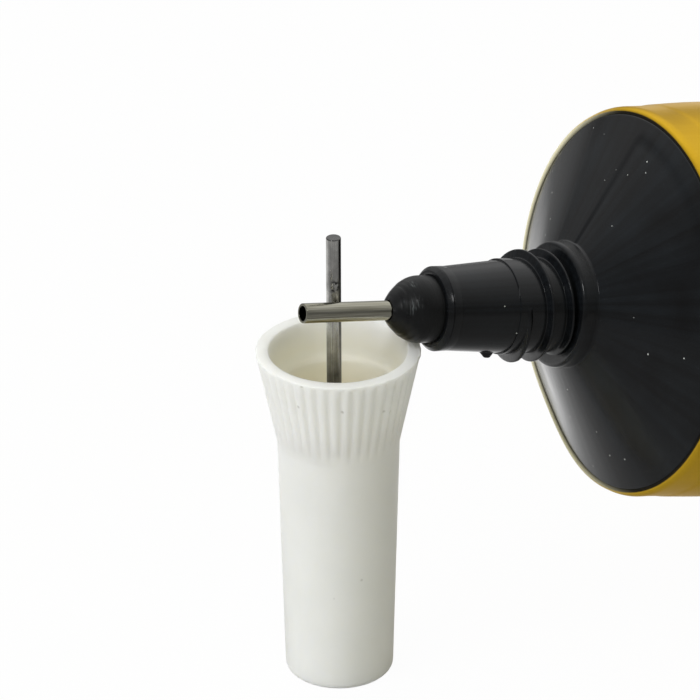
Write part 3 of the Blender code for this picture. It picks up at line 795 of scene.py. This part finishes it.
plug_piece = placed("domed_plug", plug, tube_place, black_pp)
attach(plug_piece, "tube")
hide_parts("nozzle_plug")

# Dosing needle
# A drawn stainless steel tube pressed into the plug, which lays the glue down in a thin bead. It is cut
# square and deburred at the tip, and open along its bore to the funnel inside the plug.
NEEDLE_RADIUS = 0.87 * MM
NEEDLE_BORE = 0.67 * MM
NEEDLE_BACK = 14.45 * MM
NEEDLE_ROUND = 0.05 * MM
BORE_ROUND = 0.03 * MM
NEEDLE_SIDES = 96

# Drawn stainless steel: bright and slightly warm, with fine lines along the tube that soften its reflections.
STEEL_DEEP = "868371"
STEEL_PALE = "b6b4a8"
DRAW_LINE = 0.045 * MM
DRAW_LENGTH = 4.0 * MM
DRAW_RELIEF = 0.01 * MM
stainless, tree, shader, own = finish_of("drawn_stainless_steel", tube_place)
lines = streaked(tree, own, (DRAW_LINE, DRAW_LINE, DRAW_LENGTH), 2.0)
tone = add(tree, "ShaderNodeMapRange", {"Value": lines, **NOISE_SPAN})
colour = add(tree, "ShaderNodeMix", {
    "Factor": tone, "A": linear(STEEL_DEEP), "B": linear(STEEL_PALE)}, data_type="RGBA")
gloss = add(tree, "ShaderNodeMapRange", {"Value": lines, **NOISE_SPAN, "To Min": 0.07, "To Max": 0.14})
bump = add(tree, "ShaderNodeBump", {"Height": lines, "Strength": 0.2, "Distance": DRAW_RELIEF})
wire(tree, shader, {"Base Color": colour, "Roughness": gloss, "Normal": bump, "Metallic": 1.0})

needle_outline = filleted([
    (0.0, NEEDLE_BORE, BORE_ROUND),
    (0.0, NEEDLE_RADIUS, NEEDLE_ROUND),
    (NEEDLE_BACK, NEEDLE_RADIUS, NEEDLE_ROUND),
    (NEEDLE_BACK, NEEDLE_BORE, BORE_ROUND),
])
needle = turned("needle", needle_outline, NEEDLE_SIDES)
needle_piece = placed("steel_needle", needle, tube_place, stainless)
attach(needle_piece, "tube")
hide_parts("dosing_needle")

# Adhesive fill
# Viscous amber solvent glue fills the sleeve behind the insert. It is filled from the open tail before the
# crimp is pressed, and it is hidden.

# Solvent glue: amber, wet and slightly cloudy, with a skin that lies in soft waves.
GLUE_DEEP = "9a6a1e"
GLUE_PALE = "c99a45"
GLUE_CLOUD = 8 * MM
GLUE_WAVE = 0.2 * MM
glue, tree, shader, own = finish_of("amber_solvent_glue", tube_place)
cloud = add(tree, "ShaderNodeTexNoise", {"Vector": own, "Scale": 1 / GLUE_CLOUD, "Detail": 2.0})
colour = add(tree, "ShaderNodeMix", {
    "Factor": cloud, "A": linear(GLUE_DEEP), "B": linear(GLUE_PALE)}, data_type="RGBA")
bump = add(tree, "ShaderNodeBump", {"Height": cloud, "Strength": 0.15, "Distance": GLUE_WAVE})
wire(tree, shader, {"Base Color": colour, "Roughness": 0.12, "Normal": bump, "IOR": 1.5})
frame["nodes"]["adhesive_fill"].data.materials[0] = glue

# Cap
# A white polyethylene screw cap, moulded in one shot and set down mouth up beside the nozzle. Its body is a
# plain slim taper, and its flared skirt is fluted for grip and hides a ledge and the thread.
CAP_HEIGHT = 31.968 * MM
CAP_BASE_RADIUS = 4.83 * MM
CAP_BODY_RADIUS = 5.31 * MM
CAP_BASE_ROUND = 0.6 * MM
CAP_DIMPLE_RADIUS = 2.6 * MM
CAP_DIMPLE_DEPTH = 0.3 * MM
CAP_ROUND = 0.2 * MM
FLARE_BOTTOM = 22.668 * MM
RIM_RADIUS = 7.24 * MM
MOUTH_RADIUS = 6.09 * MM
RIM_ROUND = 0.12 * MM
RIM_MARGIN = 0.25 * MM
LEDGE_RADIUS = 5.62 * MM
LEDGE = 28.5 * MM
LEDGE_ROUND = 0.9 * MM
CAP_THREAD_TOP = 28.25 * MM
CAP_THREAD_ROUND = 0.25 * MM
CAP_THREAD_MARGIN = 0.4 * MM
CAP_THREAD_LENGTH = 4.06 * MM
CAP_THREAD_TURNS = 1.3
CAP_THREAD_MAJOR = 5.13 * MM
CAP_BORE = 4.26 * MM
CAP_DRAFT = 0.4 * MM
CAP_THROAT = 3.16 * MM
CAP_FLOOR = 2.5 * MM
CAP_FLOOR_ROUND = 0.3 * MM
NECK_SEAT_DEPTH = 26.687 * MM
CAP_INSIDE_MARGIN = 0.6 * MM
FLUTE_COUNT = 40.0
FLUTE_DEPTH = 0.185 * MM
FLUTE_NARROWNESS = 3.0
FLUTE_TURN = math.radians(1.7)
FLUTE_BOTTOM = 23.1 * MM
FLUTE_FADE_IN = 3.4 * MM
FLUTE_TOP = 31.8 * MM
FLUTE_FADE_OUT = 0.25 * MM
FLUTE_ROW = 0.15 * MM
BURR_HEIGHT = 0.09 * MM
BURR_REACH = 0.5 * MM
BURR_TOP = 0.3 * BURR_REACH
BURR_SIZE = 0.7 * MM
CAP_SIDES = 400
cap_centre = Vector(mounts["cap_base"]["pos_m"])
cap_place = Matrix.Translation(cap_centre)

# Moulded polyethylene, satin and slightly see-through: cool white outside and warmer down the bore, where
# glue has stained it. Specks of handling dirt are placed by height in millimetres and by angle in degrees.
CAP_WHITE = "eeeeec"
CAP_GREY = "e7e8e6"
CAP_WARM = "eae6d4"
CAP_STAIN = "f0e4c2"
CAP_DIRT = "6f6a5e"
DIRT_SPOTS = ((29.3, -114), (28.5, -79), (28.2, -72), (31.7, -143), (29.4, -148), (11.4, -94), (9.7, -122))
DIRT_RADIUS = 0.13 * MM
DIRT_FADE = (1.6 * DIRT_RADIUS, 0.4 * DIRT_RADIUS)
DIRT_SHARE = 0.45
DIRT_INSET = 0.08 * MM
CAP_CLOUD = 4 * MM
CAP_GRAIN = 0.35 * MM
CAP_RELIEF = 0.02 * MM
WARM_DEPTHS = (0.05 * MM, 2.5 * MM)
STAIN_DEPTHS = (3.2 * MM, 7.0 * MM)
CLEAR_DEPTH = 4.0 * MM
CLEAR_OUTSIDE = 2.2 * MM
CLEAR_INSIDE = 5.0 * MM


def cap_outside(z):
    """Radius of the cap's outside: a slim taper, then the flared skirt."""
    if z < FLARE_BOTTOM:
        return CAP_BASE_RADIUS + (CAP_BODY_RADIUS - CAP_BASE_RADIUS) * z / FLARE_BOTTOM
    share = (z - FLARE_BOTTOM) / (CAP_HEIGHT - FLARE_BOTTOM)
    return CAP_BODY_RADIUS + (RIM_RADIUS - CAP_BODY_RADIUS) * share


white_pe, tree, shader, own = finish_of("moulded_white_polyethylene", cap_place)
cloud = add(tree, "ShaderNodeTexNoise", {"Vector": own, "Scale": 1 / CAP_CLOUD, "Detail": 3.0})
grain = add(tree, "ShaderNodeTexNoise", {"Vector": own, "Scale": 1 / CAP_GRAIN, "Detail": 2.0})
colour = add(tree, "ShaderNodeMix", {
    "Factor": cloud, "A": linear(CAP_GREY), "B": linear(CAP_WHITE)}, data_type="RGBA")
depth = add(tree, "ShaderNodeAttribute", attribute_name="depth").outputs["Fac"]
nearest = 1.0
for height, angle in DIRT_SPOTS:
    radius = cap_outside(max(height * MM, FLARE_BOTTOM)) - DIRT_INSET
    turn = math.radians(angle)
    spot = (radius * math.cos(turn), radius * math.sin(turn), height * MM)
    away = add(tree, "ShaderNodeVectorMath", {0: own, 1: spot}, operation="DISTANCE").outputs["Value"]
    nearest = add(tree, "ShaderNodeMath", {0: away, 1: nearest}, operation="MINIMUM")
layers = ((depth, WARM_DEPTHS, 1.0, CAP_WARM), (depth, STAIN_DEPTHS, 1.0, CAP_STAIN),
          (nearest, DIRT_FADE, DIRT_SHARE, CAP_DIRT))
for value, (none, full), most, code in layers:
    share = add(tree, "ShaderNodeMapRange", {
        "Value": value, "From Min": none, "From Max": full, "To Max": most})
    colour = add(tree, "ShaderNodeMix", {"Factor": share, "A": colour, "B": linear(code)}, data_type="RGBA")
gloss = add(tree, "ShaderNodeMapRange", {"Value": cloud, **NOISE_SPAN, "To Min": 0.38, "To Max": 0.5})
bump = add(tree, "ShaderNodeBump", {"Height": grain, "Strength": 0.2, "Distance": CAP_RELIEF})
clear = add(tree, "ShaderNodeMapRange", {
    "Value": depth, "From Max": CLEAR_DEPTH, "To Min": CLEAR_OUTSIDE, "To Max": CLEAR_INSIDE})
wire(tree, shader, {
    "Base Color": colour, "Roughness": gloss, "Normal": bump, "IOR": 1.51, "Subsurface Weight": 0.85,
    "Subsurface Radius": (1.0, 0.98, 0.9), "Subsurface Scale": clear})

# The flutes are narrow grooves pressed into the masked rows of the turned cap.
flute_tree, given = sized_tree("grip_flutes", ("Count", "Depth", "Narrowness", "Turn"))
spot, turn = about_axis(flute_tree, given["Turn"])
turn = add(flute_tree, "ShaderNodeMath", {0: turn, 1: given["Count"]}, operation="MULTIPLY")
turn = add(flute_tree, "ShaderNodeMath", {0: turn, 1: 0.5}, operation="MULTIPLY")
wave = add(flute_tree, "ShaderNodeMath", {0: turn}, operation="COSINE")
wave = add(flute_tree, "ShaderNodeMath", {0: wave}, operation="ABSOLUTE")
wave = add(flute_tree, "ShaderNodeMath", {0: wave, 1: given["Narrowness"]}, operation="POWER")
mask = add(flute_tree, "GeometryNodeInputNamedAttribute", {"Name": "mask"}, data_type="FLOAT")
outside = add(flute_tree, "ShaderNodeMath", {0: mask, 1: 0.0}, operation="MAXIMUM")
inward = wave
for value in (given["Depth"], outside, -1.0):
    inward = add(flute_tree, "ShaderNodeMath", {0: inward, 1: value}, operation="MULTIPLY")
ended_pushed(flute_tree, given, spot, inward)

cap_thread_top = CAP_THREAD_TOP - CAP_THREAD_MARGIN
cap_thread_bottom = CAP_THREAD_TOP - CAP_THREAD_LENGTH
bore_top = cap_thread_bottom - (CAP_THREAD_MAJOR - CAP_BORE)
neck_seat = CAP_HEIGHT - NECK_SEAT_DEPTH
rim_foot = CAP_HEIGHT - RIM_MARGIN
cap_outline = filleted([
    (CAP_DIMPLE_DEPTH, 0.0, 0),
    (CAP_DIMPLE_DEPTH, CAP_DIMPLE_RADIUS, CAP_ROUND),
    (0.0, CAP_DIMPLE_RADIUS + CAP_DIMPLE_DEPTH, CAP_ROUND),
    (0.0, CAP_BASE_RADIUS, CAP_BASE_ROUND),
    (FLUTE_BOTTOM, cap_outside(FLUTE_BOTTOM), 0),
])
cap_outline += [(z, cap_outside(z)) for z in spaced(FLUTE_BOTTOM, rim_foot, FLUTE_ROW)[1:]]
cap_outline += filleted([
    (rim_foot, cap_outside(rim_foot), 0),
    (CAP_HEIGHT, RIM_RADIUS, RIM_ROUND),
    (CAP_HEIGHT, MOUTH_RADIUS, RIM_ROUND),
    (LEDGE, LEDGE_RADIUS, LEDGE_ROUND),
    (CAP_THREAD_TOP, CAP_THREAD_MAJOR, CAP_THREAD_ROUND),
    (cap_thread_top, CAP_THREAD_MAJOR, 0),
])[1:]
cap_thread_rows = spaced(cap_thread_top, cap_thread_bottom, 2 * THREAD_ROW)
cap_outline += [(z, CAP_THREAD_MAJOR) for z in cap_thread_rows[1:]]
cap_outline += filleted([
    (cap_thread_bottom, CAP_THREAD_MAJOR, 0),
    (bore_top, CAP_BORE, CAP_ROUND),
    (neck_seat + NECK_FACE, CAP_BORE - CAP_DRAFT, CAP_ROUND),
    (neck_seat + PLUG_NOSE, CAP_THROAT, CAP_ROUND),
    (CAP_FLOOR, CAP_THROAT - CAP_DRAFT, CAP_FLOOR_ROUND),
    (CAP_FLOOR, 0.0, 0),
])[1:]


def cap_mask(z, radius):
    """Above 0 where the flutes are pressed into the outside, and -1 where the thread stands on the inside."""
    if abs(radius - cap_outside(z)) < CLOSE:
        bottom = smooth(FLUTE_BOTTOM, FLUTE_BOTTOM + FLUTE_FADE_IN, z)
        return bottom * (1 - smooth(FLUTE_TOP - FLUTE_FADE_OUT, FLUTE_TOP, z))
    if abs(radius - CAP_THREAD_MAJOR) < 0.1 * CLOSE:
        return -1.0
    return 0.0


cap = turned("cap_blank", cap_outline, CAP_SIDES, cap_mask)
cap = shaped(cap, flute_tree, {
    "Count": FLUTE_COUNT, "Depth": FLUTE_DEPTH, "Narrowness": FLUTE_NARROWNESS, "Turn": FLUTE_TURN,
    "Material": white_pe})
for weight in cap.attributes["mask"].data:
    weight.value = max(-weight.value, 0.0)
cap = shaped(cap, thread_tree, {
    **thread_sizes, "Height": -THREAD_HEIGHT, "Start": cap_thread_bottom, "Turns": CAP_THREAD_TURNS,
    "Material": white_pe})
# The depth below the rim, for the inside alone. A trace of moulding flash roughens the outer edge of the rim.
depths = []
for vertex in cap.vertices:
    x, y, z = vertex.co
    radius = math.hypot(x, y)
    depths.append(CAP_HEIGHT - z if radius < cap_outside(z) - CAP_INSIDE_MARGIN else 0.0)
    edge = smooth(RIM_RADIUS - BURR_REACH, RIM_RADIUS, radius)
    edge *= smooth(CAP_HEIGHT - BURR_REACH, CAP_HEIGHT - BURR_TOP, z)
    vertex.co = pushed(vertex.co, BURR_HEIGHT * edge * noise.noise(vertex.co / BURR_SIZE))
cap.attributes.new("depth", "FLOAT", "POINT").data.foreach_set("value", depths)
cap_piece = placed("fluted_cap", cap, cap_place, white_pe)
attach(cap_piece, "cap")
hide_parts("cap")

# Cap pin
# A length of drawn steel wire moulded into the cap's floor. It enters the needle when the cap is on, to keep
# the bore from clogging, so dried glue clings to it in dark smears.
PIN_RADIUS = 0.65 * MM
PIN_OFFSET = -0.4 * MM
PIN_BOTTOM = 0.8 * MM
PIN_TOP = 42.968 * MM
PIN_CHAMFER = 0.12 * MM
PIN_ROUND = 0.05 * MM
PIN_SIDES = 96

# Drawn steel wire, dull: mid grey with lengthwise draw lines, a dark smear of dried glue, a film of it at its
# tip, and painted shade that darkens it down one side and in the mouth. The smear has a height, angle and
# size.
PIN_DEEP = "a6a5a2"
PIN_PALE = "dcdbd7"
# The dark colour of dried glue, which also serves as painted shade in the mouth and down one side
SMEAR_AND_PAINTED_SHADE = "17171a"
FILM_AND_SHADE_SHARE = 0.8
MOUTH_PAINTED_SHADE = (CAP_HEIGHT + 3 * MM, CAP_HEIGHT - 2 * MM)
PAINTED_SHADE_SIDE = math.radians(-42)
PAINTED_SHADE_SIDE_FADE = (0.75 * PIN_RADIUS, 0.95 * PIN_RADIUS)
FILM_TIP = (PIN_TOP - PIN_CHAMFER, PIN_TOP - 0.3 * PIN_CHAMFER)
SMEAR_SPOT = (38.5 * MM, math.radians(-112), 1.2 * MM)
SMEAR_BLOT = 0.45 * MM
WIRE_LINE = 0.07 * MM
WIRE_LENGTH = 6.0 * MM
WIRE_CLOUD = 1.2 * MM
WIRE_RELIEF = 0.01 * MM
wire_steel, tree, shader, own = finish_of("drawn_steel_wire", cap_place)
lines = streaked(tree, own, (WIRE_LINE, WIRE_LINE, WIRE_LENGTH), 3.0)
cloud = add(tree, "ShaderNodeTexNoise", {"Vector": own, "Scale": 1 / WIRE_CLOUD, "Detail": 3.0})
tone = add(tree, "ShaderNodeMath", {0: lines, 1: cloud}, operation="MULTIPLY")
tone = add(tree, "ShaderNodeMapRange", {"Value": tone, "From Min": 0.12, "From Max": 0.36})
colour = add(tree, "ShaderNodeMix", {
    "Factor": tone, "A": linear(PIN_DEEP), "B": linear(PIN_PALE)}, data_type="RGBA")
level = add(tree, "ShaderNodeSeparateXYZ", {"Vector": own}).outputs["Z"]
side = add(tree, "ShaderNodeVectorMath", {0: own, 1: (PIN_OFFSET, 0.0, 0.0)}, operation="SUBTRACT")
side = add(tree, "ShaderNodeVectorMath", {
    0: side, 1: (math.cos(PAINTED_SHADE_SIDE), math.sin(PAINTED_SHADE_SIDE), 0.0)}, operation="DOT_PRODUCT").outputs["Value"]
# Painted shade darkens the wire in the cap's mouth and down one side, and at the tip the same dark colour is
# a film of glue.
tip_film_and_painted_shade = 0.0
for value, (none, full) in ((level, MOUTH_PAINTED_SHADE), (side, PAINTED_SHADE_SIDE_FADE), (level, FILM_TIP)):
    dark = add(tree, "ShaderNodeMapRange", {
        "Value": value, "From Min": none, "From Max": full, "To Max": FILM_AND_SHADE_SHARE})
    tip_film_and_painted_shade = add(tree, "ShaderNodeMath", {0: dark, 1: tip_film_and_painted_shade}, operation="MAXIMUM")
colour = add(tree, "ShaderNodeMix", {"Factor": tip_film_and_painted_shade, "A": colour, "B": linear(SMEAR_AND_PAINTED_SHADE)}, data_type="RGBA")
height, angle, size = SMEAR_SPOT
spot = (PIN_OFFSET + PIN_RADIUS * math.cos(angle), PIN_RADIUS * math.sin(angle), height)
away = add(tree, "ShaderNodeVectorMath", {0: own, 1: spot}, operation="DISTANCE").outputs["Value"]
near = add(tree, "ShaderNodeMapRange", {"Value": away, "From Min": size, "From Max": 0.3 * size})
blot = add(tree, "ShaderNodeTexNoise", {"Vector": own, "Scale": 1 / SMEAR_BLOT, "Detail": 2.0})
blot = add(tree, "ShaderNodeMapRange", {"Value": blot, "From Min": 0.44, "From Max": 0.56})
smear = add(tree, "ShaderNodeMath", {0: near, 1: blot}, operation="MULTIPLY")
colour = add(tree, "ShaderNodeMix", {"Factor": smear, "A": colour, "B": linear(SMEAR_AND_PAINTED_SHADE)}, data_type="RGBA")
metal = add(tree, "ShaderNodeMath", {0: 1.0, 1: smear}, operation="SUBTRACT")
gloss = add(tree, "ShaderNodeMapRange", {"Value": lines, **NOISE_SPAN, "To Min": 0.2, "To Max": 0.32})
bump = add(tree, "ShaderNodeBump", {"Height": lines, "Strength": 0.25, "Distance": WIRE_RELIEF})
wire(tree, shader, {"Base Color": colour, "Roughness": gloss, "Normal": bump, "Metallic": metal})

pin_outline = filleted([
    (PIN_BOTTOM, 0.0, 0),
    (PIN_BOTTOM, PIN_RADIUS, PIN_ROUND),
    (PIN_TOP, PIN_RADIUS, PIN_CHAMFER),
    (PIN_TOP, 0.0, 0),
])
pin = turned("pin", pin_outline, PIN_SIDES, centre_x=PIN_OFFSET)
pin_piece = placed("steel_pin", pin, cap_place, wire_steel)
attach(pin_piece, "cap")
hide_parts("cap_pin")

# Studio
# A pale sheet of card under an even, slightly warm room light. A large soft lamp stands to the left, a second
# one hangs behind and above, and a small one puts the glints on plastic and steel.
SHADOW_SHARE = 0.03
CARD = "dcdcda"
CARD_FIBRE = 2 * MM
CARD_RELIEF = 0.05 * MM
AMBIENT = "fefde4"
AMBIENT_LEVEL = 0.38
WHITE = (1.0, 1.0, 1.0, 1.0)
POOL_SKEW = 0.2
POOL_RISE = 45 * MM
POOL_REACH = (32 * MM, 150 * MM)
POOL_LEVELS = (0.3, 1.25)
FAR_REACH = (60 * MM, 150 * MM)
ROOM_LEVELS = (0.2, 1.0)
ROOM_LEAST = 0.18
# How the mirrored room dims: a span of directions, and the levels at its ends
ROOM_FRONT = ((-0.5, 0.6), (1.0, 0.2))
ROOM_LEFT = ((-1.0, -0.3), (0.4, 1.0))
FLOOR_SIZE = 6.0
FLOOR_DROP = 0.05 * MM
LAMP_AIM = Vector((15.0, 0.0, 30.0)) * MM
CAMERA_HEADING = math.radians(27.0)
CAMERA_PITCH = math.radians(27.81)
CAMERA_ROLL = math.radians(-0.19)
CAMERA_OFFSET = Vector((-156.52, -309.47, 214.83)) * MM
CAMERA_LENS = 231.43
CAMERA_SENSOR = 36.0
CAMERA_CLIP = (0.01, 20.0)
# Each lamp: name, distance to the right, towards the camera and up, size, power and colour
LAMPS = (
    ("key_lamp", -0.75, 0.45, 0.75, 0.6, 7.9, "f4f6ff"),
    ("top_lamp", -0.3, -0.35, 0.95, 0.7, 3.0, "ffffff"),
    ("glint_lamp", -0.35, 0.6, 0.72, 0.18, 1.5, "ffffff"),
)
scene = bpy.context.scene
right = Vector((math.cos(CAMERA_HEADING), -math.sin(CAMERA_HEADING), 0.0))
towards = Vector((-math.sin(CAMERA_HEADING), -math.cos(CAMERA_HEADING), 0.0))
aim = cap_centre + LAMP_AIM

# Matt white card: plain white to the camera, with a trace of the object's shadow. Glossy surfaces mirror a
# bright pool behind the cap and a bright far floor to the right, which fall off towards the camera.
card = bpy.data.materials.new("white_card")
card.use_nodes = True
tree = card.node_tree
tree.nodes.remove(tree.nodes["Principled BSDF"])
path = add(tree, "ShaderNodeLightPath")
mirrored = add(tree, "ShaderNodeMath", {
    0: path.outputs["Is Glossy Ray"], 1: path.outputs["Is Transmission Ray"]}, operation="MAXIMUM")
seen = add(tree, "ShaderNodeMath", {
    0: path.outputs["Is Camera Ray"], 1: 1 - SHADOW_SHARE}, operation="MULTIPLY")
place = add(tree, "ShaderNodeTexCoord").outputs["Object"]
fibre = add(tree, "ShaderNodeTexNoise", {"Vector": place, "Scale": 1 / CARD_FIBRE})
bump = add(tree, "ShaderNodeBump", {"Height": fibre, "Strength": 0.05, "Distance": CARD_RELIEF})
matte = add(tree, "ShaderNodeBsdfDiffuse", {"Color": linear(CARD), "Normal": bump})
glow = add(tree, "ShaderNodeEmission", {"Color": WHITE, "Strength": 1.0})
spread = add(tree, "ShaderNodeVectorMath", {0: place, 1: cap_centre}, operation="SUBTRACT")
behind = add(tree, "ShaderNodeVectorMath", {
    0: spread, 1: -towards - POOL_SKEW * right}, operation="DOT_PRODUCT").outputs["Value"]
rise = add(tree, "ShaderNodeMapRange", {
    "Value": behind, "From Max": POOL_RISE,
    "To Min": POOL_LEVELS[0], "To Max": POOL_LEVELS[1]}, interpolation_type="SMOOTHSTEP")
away = add(tree, "ShaderNodeVectorMath", {0: spread}, operation="LENGTH").outputs["Value"]
fall = add(tree, "ShaderNodeMapRange", {
    "Value": away, "From Min": POOL_REACH[0], "From Max": POOL_REACH[1],
    "To Min": POOL_LEVELS[1], "To Max": POOL_LEVELS[0]})
level = add(tree, "ShaderNodeMath", {0: rise, 1: fall}, operation="MINIMUM")
far = add(tree, "ShaderNodeMapRange", {"Value": behind, "From Min": FAR_REACH[0], "From Max": FAR_REACH[1]})
aside = add(tree, "ShaderNodeVectorMath", {0: spread, 1: right}, operation="DOT_PRODUCT").outputs["Value"]
aside = add(tree, "ShaderNodeMapRange", {"Value": aside, "From Max": FAR_REACH[0]})
far = add(tree, "ShaderNodeMath", {0: far, 1: aside}, operation="MULTIPLY")
level = add(tree, "ShaderNodeMath", {0: level, 1: far}, operation="MAXIMUM")
lit = add(tree, "ShaderNodeEmission", {"Color": WHITE, "Strength": level})
mixed = add(tree, "ShaderNodeMixShader", {0: seen, 1: matte, 2: glow})
mixed = add(tree, "ShaderNodeMixShader", {0: mirrored, 1: mixed, 2: lit})
wire(tree, tree.nodes["Material Output"], {"Surface": mixed})
half = 0.5 * FLOOR_SIZE
corners = [(x, y, -FLOOR_DROP) for x, y in ((-half, -half), (half, -half), (half, half), (-half, half))]
floor_mesh = bpy.data.meshes.new("floor")
floor_mesh.from_pydata(corners, [], [(0, 1, 2, 3)])
floor_mesh.materials.append(card)
floor = bpy.data.objects.new("floor", floor_mesh)
scene.collection.objects.link(floor)

for name, aside, nearer, up, size, power, colour in LAMPS:
    lamp = bpy.data.lights.new(name, "AREA")
    lamp.shape = "DISK"
    lamp.size = size
    lamp.energy = power
    lamp.color = linear(colour)[:3]
    holder = bpy.data.objects.new(name, lamp)
    holder.location = aim + right * aside + towards * nearer + Vector((0.0, 0.0, up))
    holder.rotation_euler = (aim - holder.location).to_track_quat("-Z", "Y").to_euler()
    holder.visible_camera = False
    holder.visible_glossy = name == "glint_lamp"
    scene.collection.objects.link(holder)

# The room is white to the camera and even to the lit surfaces. Glossy surfaces mirror it bright overhead and
# dim towards the front and the left.
room = bpy.data.worlds.new("studio_room")
room.use_nodes = True
scene.world = room
tree = room.node_tree
path = add(tree, "ShaderNodeLightPath")
way = add(tree, "ShaderNodeTexCoord").outputs["Generated"]
up = add(tree, "ShaderNodeSeparateXYZ", {"Vector": way}).outputs["Z"]
bright = add(tree, "ShaderNodeMapRange", {
    "Value": up, "From Max": 0.45, "To Min": ROOM_LEVELS[0], "To Max": ROOM_LEVELS[1]})
for axis, ((start, end), (first, last)) in ((towards, ROOM_FRONT), (right, ROOM_LEFT)):
    facing = add(tree, "ShaderNodeVectorMath", {0: way, 1: axis}, operation="DOT_PRODUCT").outputs["Value"]
    dim = add(tree, "ShaderNodeMapRange", {
        "Value": facing, "From Min": start, "From Max": end, "To Min": first, "To Max": last})
    bright = add(tree, "ShaderNodeMath", {0: bright, 1: dim}, operation="MULTIPLY")
bright = add(tree, "ShaderNodeMath", {0: bright, 1: ROOM_LEAST}, operation="MAXIMUM")
white = add(tree, "ShaderNodeBackground", {"Color": WHITE, "Strength": 1.0})
mirrored = add(tree, "ShaderNodeBackground", {"Color": WHITE, "Strength": bright})
air = tree.nodes["Background"]
wire(tree, air, {"Color": linear(AMBIENT), "Strength": AMBIENT_LEVEL})
glossy = add(tree, "ShaderNodeMath", {
    0: path.outputs["Is Glossy Ray"], 1: path.outputs["Is Transmission Ray"]}, operation="MAXIMUM")
mixed = add(tree, "ShaderNodeMixShader", {0: glossy, 1: air, 2: mirrored})
mixed = add(tree, "ShaderNodeMixShader", {0: path.outputs["Is Camera Ray"], 1: mixed, 2: white})
wire(tree, tree.nodes["World Output"], {"Surface": mixed})

camera = bpy.data.cameras.new("camera")
camera.lens = CAMERA_LENS
camera.sensor_width = CAMERA_SENSOR
camera.clip_start, camera.clip_end = CAMERA_CLIP
viewer = bpy.data.objects.new("camera", camera)
turned_by = (Matrix.Rotation(-CAMERA_HEADING, 4, "Z") @ Matrix.Rotation(0.5 * math.pi - CAMERA_PITCH, 4, "X")
             @ Matrix.Rotation(CAMERA_ROLL, 4, "Z"))
viewer.matrix_world = Matrix.Translation(cap_centre + CAMERA_OFFSET) @ turned_by
scene.collection.objects.link(viewer)
scene.camera = viewer
scene.view_settings.view_transform = "Standard"
